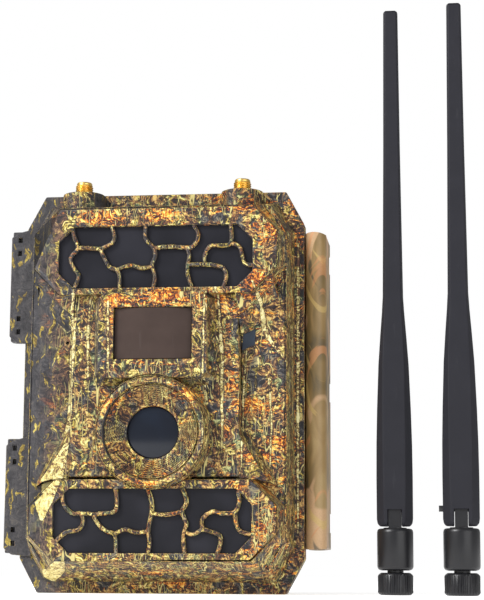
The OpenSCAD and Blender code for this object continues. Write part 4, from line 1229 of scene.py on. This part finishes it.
@dataclass
class Screws:
    """Cross-head screws of the bracket and of the door's liner."""

    bracket: Tuple[Point2, ...] = ((-30, 46), (30, 46), (-30, 104), (30, 104))
    panel: Tuple[Point2, ...] = ((-40, 20), (40, 20), (-40, 70), (40, 70), (-40, 120), (40, 120))

    def screw(self, head_r: float, head_h: float, shank_r: float, shank: float) -> Object:
        """One screw at the origin, with its head towards +Y and a cross cut in it."""
        profile = [(0, shank), (shank_r * 0.4, shank), (shank_r, shank - 0.8), (shank_r, 0.0), (head_r, 0.0),
                   (head_r, -head_h * 0.35), (head_r * 0.86, -head_h * 0.8), (head_r * 0.5, -head_h),
                   (0, -head_h)]
        made = lathe("screw", profile, (0, 0, 0), "F", 24)
        for w, h in ((0.62, 0.13), (0.13, 0.62)):
            cut = loft("cross", [[(sx * w * head_r, y, sz * h * head_r) for sx,
                                  sz in ((-1, -1), (1, -1), (1, 1), (-1, 1))]
                                 for y in (head_h * 0.35, head_h + 1)])
            carve(made, cut)
        return smooth(made, 30)

    def build(self, kit: Finishes) -> None:
        """Place all the screws."""
        tree = copies_tree()
        for name, body, places, y, sizes, node in (
                ("bracket_crossheads", "housing", self.bracket, BACK_Y + 1.62, (2.6, 1.3, 1.2, 4.0),
                 "bracket_screws"),
                ("liner_crossheads", "door", self.panel, PANEL_Y + 0.02, (2.4, 1.25, 1.1, 13.0),
                 "panel_screws")):
            shape = self.screw(*sizes)
            points = lines_object(name, [[(x, y, z)] for x, z in places])
            tree.run(points, shape=shape, turn_step=(0.0, 0.9, 0.0), material=kit.made["steel_pin"])
            bpy.data.objects.remove(shape)
            kit.hand_over(points, body, "steel_pin", node)


@dataclass
class BatteryBay:
    """Twelve AA cells and the conical springs under them."""

    rows: Tuple[float, float] = (17.5, 72.5)
    pitch: float = 14.7
    y: float = 8.6
    length: float = 49.5
    radius: float = 7.25

    def places(self, lift: float) -> List[Point3]:
        """A point under each cell."""
        return [((i - 2.5) * self.pitch, self.y, z + lift) for z in self.rows for i in range(6)]

    def build(self, kit: Finishes) -> None:
        """Make the cells and springs as copies of one another."""
        tree = copies_tree()
        r, top = self.radius, self.length
        cell = lathe("cell", [
            (0, 0.25), (3.4, 0.25), (3.6, 0.02), (r - 0.9, 0.02), (r - 0.35, 0.15), (r - 0.05, 0.5), (r, 0.9),
            (r, top - 0.9), (r - 0.05, top - 0.5), (r - 0.4, top - 0.12), (r - 0.9, top), (5.0, top),
            (4.4, top - 0.25), (3.2, top - 0.25), (2.8, top), (2.7, top + 0.75), (2.4, top + 0.98),
                              (0, top + 0.98)],
            (0, 0, 0), "Z", 40)
        smooth(cell, 40)
        cells = lines_object("aa_cell_bank", [[p] for p in self.places(0.0)])
        tree.run(cells, shape=cell, turn_step=(0.0, 0.0, 1.1), material=kit.made["cell_label"])
        bpy.data.objects.remove(cell)
        kit.hand_over(cells, "housing", "cell_label", "aa_cells")
        coil = []
        turns, steps = 3.5, 18
        for k in range(int(turns * steps) + 1):
            t = k / (turns * steps)
            angle = 2 * math.pi * k / steps
            coil.append(((3.9 - 1.8 * t) * math.cos(angle), (3.9 - 1.8 * t) * math.sin(angle),
                         0.3 + 1.35 * t))
        spring = rods_tree().run(lines_object("spring", [coil]), width=0.5 * MM, depth=0.5 * MM, sides=6,
                                 material=kit.made["nickel"])
        smooth(spring, 80)
        springs = lines_object("contact_coils", [[p] for p in self.places(-2.0)])
        tree.run(springs, shape=spring, turn_step=(0.0, 0.0, 0.0), material=kit.made["nickel"])
        bpy.data.objects.remove(spring)
        kit.hand_over(springs, "housing", "nickel", "contact_springs")


@dataclass
class Keys:
    """Soft-edged keys on the door's liner."""

    radius: float = 3.0
    places: Tuple[Tuple[str, float, float], ...] = (
        ("up", 18, 74.6), ("down", 18, 57.4), ("left", 9.4, 66), ("right", 26.6, 66), ("ok", 18, 66),
                                                    ("menu", -2, 66))

    def build(self, kit: Finishes) -> None:
        """Make each key as a turned cap with a hollow crown."""
        r = self.radius
        for name, x, z in self.places:
            key = lathe(f"key_cap_{name}", [
                (0, -3.2), (r + 0.8, -3.2), (r + 0.8, -2.6), (r, -2.6), (r, 0.75), (r - 0.12, 1.0),
                                            (r - 0.4, 1.16),
                (r - 0.7, 1.2), (r - 1.2, 1.05), (0, 0.9)], (x, PANEL_Y, z), "F", 40)
            for vertex in key.data.vertices:
                vertex.co.y = 2 * PANEL_Y * MM - vertex.co.y
            key.data.flip_normals()
            smooth(key, 40)
            kit.hand_over(key, f"key_{name}", "key_plastic", f"button_{name}")


# ---------------------------------------------------------------- the antennas

@dataclass
class Antenna:
    """One paddle antenna: lofted blade, barrel, knurled nut, pin and contact."""

    side: str
    x: float
    y: float
    ribs: int = 30
    tilt_z: float = 29.4
    spine: Tuple[Tuple[float, float, float, float], ...] = (
        (23.45, 5.2, 3.5, 3.0), (24.4, 6.0, 4.1, 3.4), (26.0, 6.24, 4.3, 3.6), (40, 6.28, 4.35, 3.8),
        (52, 6.18, 4.35, 3.9), (64, 5.88, 4.2, 3.9), (80, 5.28, 3.88, 3.75), (90, 4.58, 3.5, 3.4),
        (99, 3.88, 3.25, 3.0), (104, 3.58, 3.15, 2.9), (157, 2.98, 2.58, 2.45), (208.6, 2.58, 2.0, 2.1),
        (209.2, 2.45, 1.85, 1.9), (209.5, 2.1, 1.5, 1.6))

    def paddle(self) -> Object:
        """The blade: a raised flat with sloping shoulders on both faces, and a slotted foot."""
        rings = []
        for z, wide, deep, flat in self.spine:
            shoulder = deep * 0.34
            ring = [(-flat, -deep), (flat, -deep), (wide, -shoulder), (wide, shoulder), (flat, deep),
                    (-flat, deep),
                    (-wide, shoulder), (-wide, -shoulder)]
            rings.append([(self.x + a, self.y + b, z) for a, b in ring])
        blade = loft(f"antenna_{self.side}_blade_body", rings)
        slot = 2.4
        box = ((-slot, -slot), (slot, -slot), (slot, slot), (-slot, slot))
        back = [[(self.x + a, self.y + (-3.8 if b < 0 else 20), z) for a,
                 b in box] for z in (20, self.tilt_z + 4)]
        notch = [[(self.x + a, self.y + (-10 if b < 0 else 10), z) for a,
                  b in box] for z in (20, self.tilt_z - 0.2)]
        for cut in (loft("slot", back), loft("notch", notch)):
            carve(blade, cut)
        bore = lathe("bore", [(0, -10), (1.1, -10), (1.1, 10), (0, 10)], (0, 0, 0), "Z", 32)
        for vertex in bore.data.vertices:
            a, b, c = vertex.co
            vertex.co = (self.x * MM + c, self.y * MM + b, self.tilt_z * MM - a)
        carve(blade, bore)
        return ease(blade, 0.4, angle=24, segments=3, shortest=0.9)

    def base(self) -> Object:
        """Barrel with rounded ends, its neck, and the tongue that the blade turns on."""
        low, high, r = 8.4, 22.7, 6.25
        barrel = lathe(f"antenna_{self.side}_barrel", [
            (0.5, 4.6), (3.25, 4.6), (3.25, 5.4), (2.8, 5.4), (2.8, low), (4.7, low), (5.6, low + 0.25),
            (6.05, low + 0.7), (r, low + 1.4), (r, high - 1.3), (6.1, high - 0.6), (5.75, high - 0.15),
            (5.2, high), (4.0, high), (4.0, high + 0.32), (0, high + 0.32), (0, 14.0), (0.5, 14.0)],
            (self.x, self.y, 0), "Z", 72)
        outline = [(-3.6, 22.0), (3.6, 22.0)] + [
            (3.6 * math.cos(math.radians(a)),
             self.tilt_z + 3.6 * math.sin(math.radians(a))) for a in range(0, 181, 10)]
        tongue = loft("tongue", [[(self.x + s, self.y + b, z) for b, z in outline] for s in (-2.2, 2.2)])
        carve(barrel, tongue, "UNION")
        return smooth(barrel, 36)

    def nut(self, kit: Finishes) -> Object:
        """Knurled nut: a chamfered core with ribs set round it."""
        length = 7.7
        core = lathe("core", [
            (3.22, 0.02), (5.1, 0.02), (5.6, 0.3), (5.75, 0.7), (5.75, length - 0.9), (5.5, length - 0.4),
            (4.9, length - 0.05), (2.88, length - 0.05), (2.88, 5.0), (3.45, 5.0), (3.45, 2.6), (3.22, 2.6)],
            (self.x, self.y, 0), "Z", 72)
        rib = loft("rib", [[(math.cos(a) * rr, math.sin(a) * rr, z) for rr, a in (
            (5.6, -0.085), (top, -0.035), (top, 0.035), (5.6, 0.085))]
            for z, top in ((0.45, 5.72), (0.95, 6.08), (length - 1.15, 6.08), (length - 0.6, 5.72))])
        ring = lines_object("rib_ring", [[(0, 0, 0)]] * self.ribs)
        copies_tree().run(ring, shape=rib, turn_step=(0.0, 0.0, 2 * math.pi / self.ribs),
                          material=kit.made["nut_plastic"])
        bpy.data.objects.remove(rib)
        for vertex in ring.data.vertices:
            vertex.co.x += self.x * MM
            vertex.co.y += self.y * MM
        return smooth(gather(f"antenna_{self.side}_knurled_nut", [core, ring]), 34)

    def build(self, kit: Finishes) -> None:
        """Make the antenna's pieces."""
        name = f"antenna_{self.side}"
        kit.hand_over(self.paddle(), f"{name}_blade", "antenna_plastic", f"{name}_paddle")
        kit.hand_over(self.base(), name, "nut_plastic", f"{name}_base")
        kit.hand_over(self.nut(kit), f"{name}_coupling", "nut_plastic", f"{name}_nut")


# ---------------------------------------------------------------- floor, light and camera

@dataclass(frozen=True)
class Studio:
    """Plain pale floor, soft studio light and the camera."""

    azimuth: float = 6.92
    elevation: float = -9.34
    distance: float = 592.3
    aim: Point3 = (28.2, -20.2, 103.27)
    roll: float = 0.32
    lens: float = 123.62
    film: float = 36.0
    floor_half: float = 3000.0
    ambient: float = 0.38
    lamps: Tuple[Tuple[str, Point3, float, float], ...] = (
        ("key", (-0.85, -0.85, 0.95), 0.5, 25.0), ("fill", (1.0, -1.2, 0.3), 1.2, 9.0))

    def camera(self) -> None:
        """Place the camera low and slightly to the right of the case."""
        az, el = math.radians(self.azimuth), math.radians(self.elevation)
        back = Vector((math.sin(az) * math.cos(el), -math.cos(az) * math.cos(el), math.sin(el)))
        right = Vector((0, 0, 1)).cross(back).normalized()
        up = back.cross(right)
        turn = math.radians(self.roll)
        side = right * math.cos(turn) + up * math.sin(turn)
        top = up * math.cos(turn) - right * math.sin(turn)
        data = bpy.data.cameras.new("view")
        data.sensor_fit = "HORIZONTAL"
        data.sensor_width = self.film
        data.lens = self.lens
        data.clip_start = 0.01
        data.clip_end = 20.0
        made = bpy.data.objects.new("view", data)
        made.matrix_world = Matrix.Translation((Vector(self.aim) + back * self.distance) * MM) @ Matrix(
            (side, top, back)).transposed().to_4x4()
        bpy.context.scene.collection.objects.link(made)
        bpy.context.scene.camera = made

    def build(self) -> None:
        """Lay the floor, hang the lamps and set the camera."""
        half = self.floor_half
        floor = mesh_object("studio_floor", [(-half, -half, -0.05), (half, -half, -0.05), (half, half, -0.05),
                                             (-half, half, -0.05)], [(0, 1, 2, 3)])
        if floor.data.polygons[0].normal.z < 0:
            floor.data.flip_normals()
        floor.data.materials.append(Shader("studio_pale").finish(
            Base_Color=(1.0, 1.0, 1.0), Roughness=0.8, Emission_Color=(1.0, 1.0, 1.0), Emission_Strength=0.6))
        world = bpy.data.worlds.new("studio")
        world.use_nodes = True
        background = world.node_tree.nodes["Background"]
        background.inputs[0].default_value = (1.0, 1.0, 1.0, 1.0)
        rays = world.node_tree.nodes.new("ShaderNodeLightPath")
        level = world.node_tree.nodes.new("ShaderNodeMapRange")
        level.inputs["To Min"].default_value = self.ambient
        world.node_tree.links.new(rays.outputs["Is Camera Ray"], level.inputs["Value"])
        world.node_tree.links.new(level.outputs[0], background.inputs[1])
        scene = bpy.context.scene
        scene.world = world
        scene.view_settings.view_transform = "Standard"
        aim = Vector(self.aim) * MM
        for name, place, size, power in self.lamps:
            light = bpy.data.lights.new(name, "AREA")
            light.size = size
            light.energy = power
            lamp = bpy.data.objects.new(name, light)
            lamp.location = place
            lamp.rotation_euler = (aim - lamp.location).to_track_quat("-Z", "Y").to_euler()
            scene.collection.objects.link(lamp)
        self.camera()


def main() -> None:
    """Dress the CAD nodes, build every piece and set the stage."""
    logging.basicConfig(level=logging.INFO, format="%(name)s: %(message)s")
    kit = Finishes()
    for subpart in frame["record"]["subparts"]:
        kit.give(frame["nodes"][subpart["node"]], subpart["material_slot"])
    Studio().build()
    for piece in (FrontCover(), Grilles(), LensHood(), SensorWindow(), Ports(), EasedCopies(), Screws(),
                  BatteryBay(),
                  Keys(), Antenna("left", 81.7, -17.0), Antenna("right", 104.5, -23.0)):
        piece.build(kit)


if __name__ == "__main__":
    main()
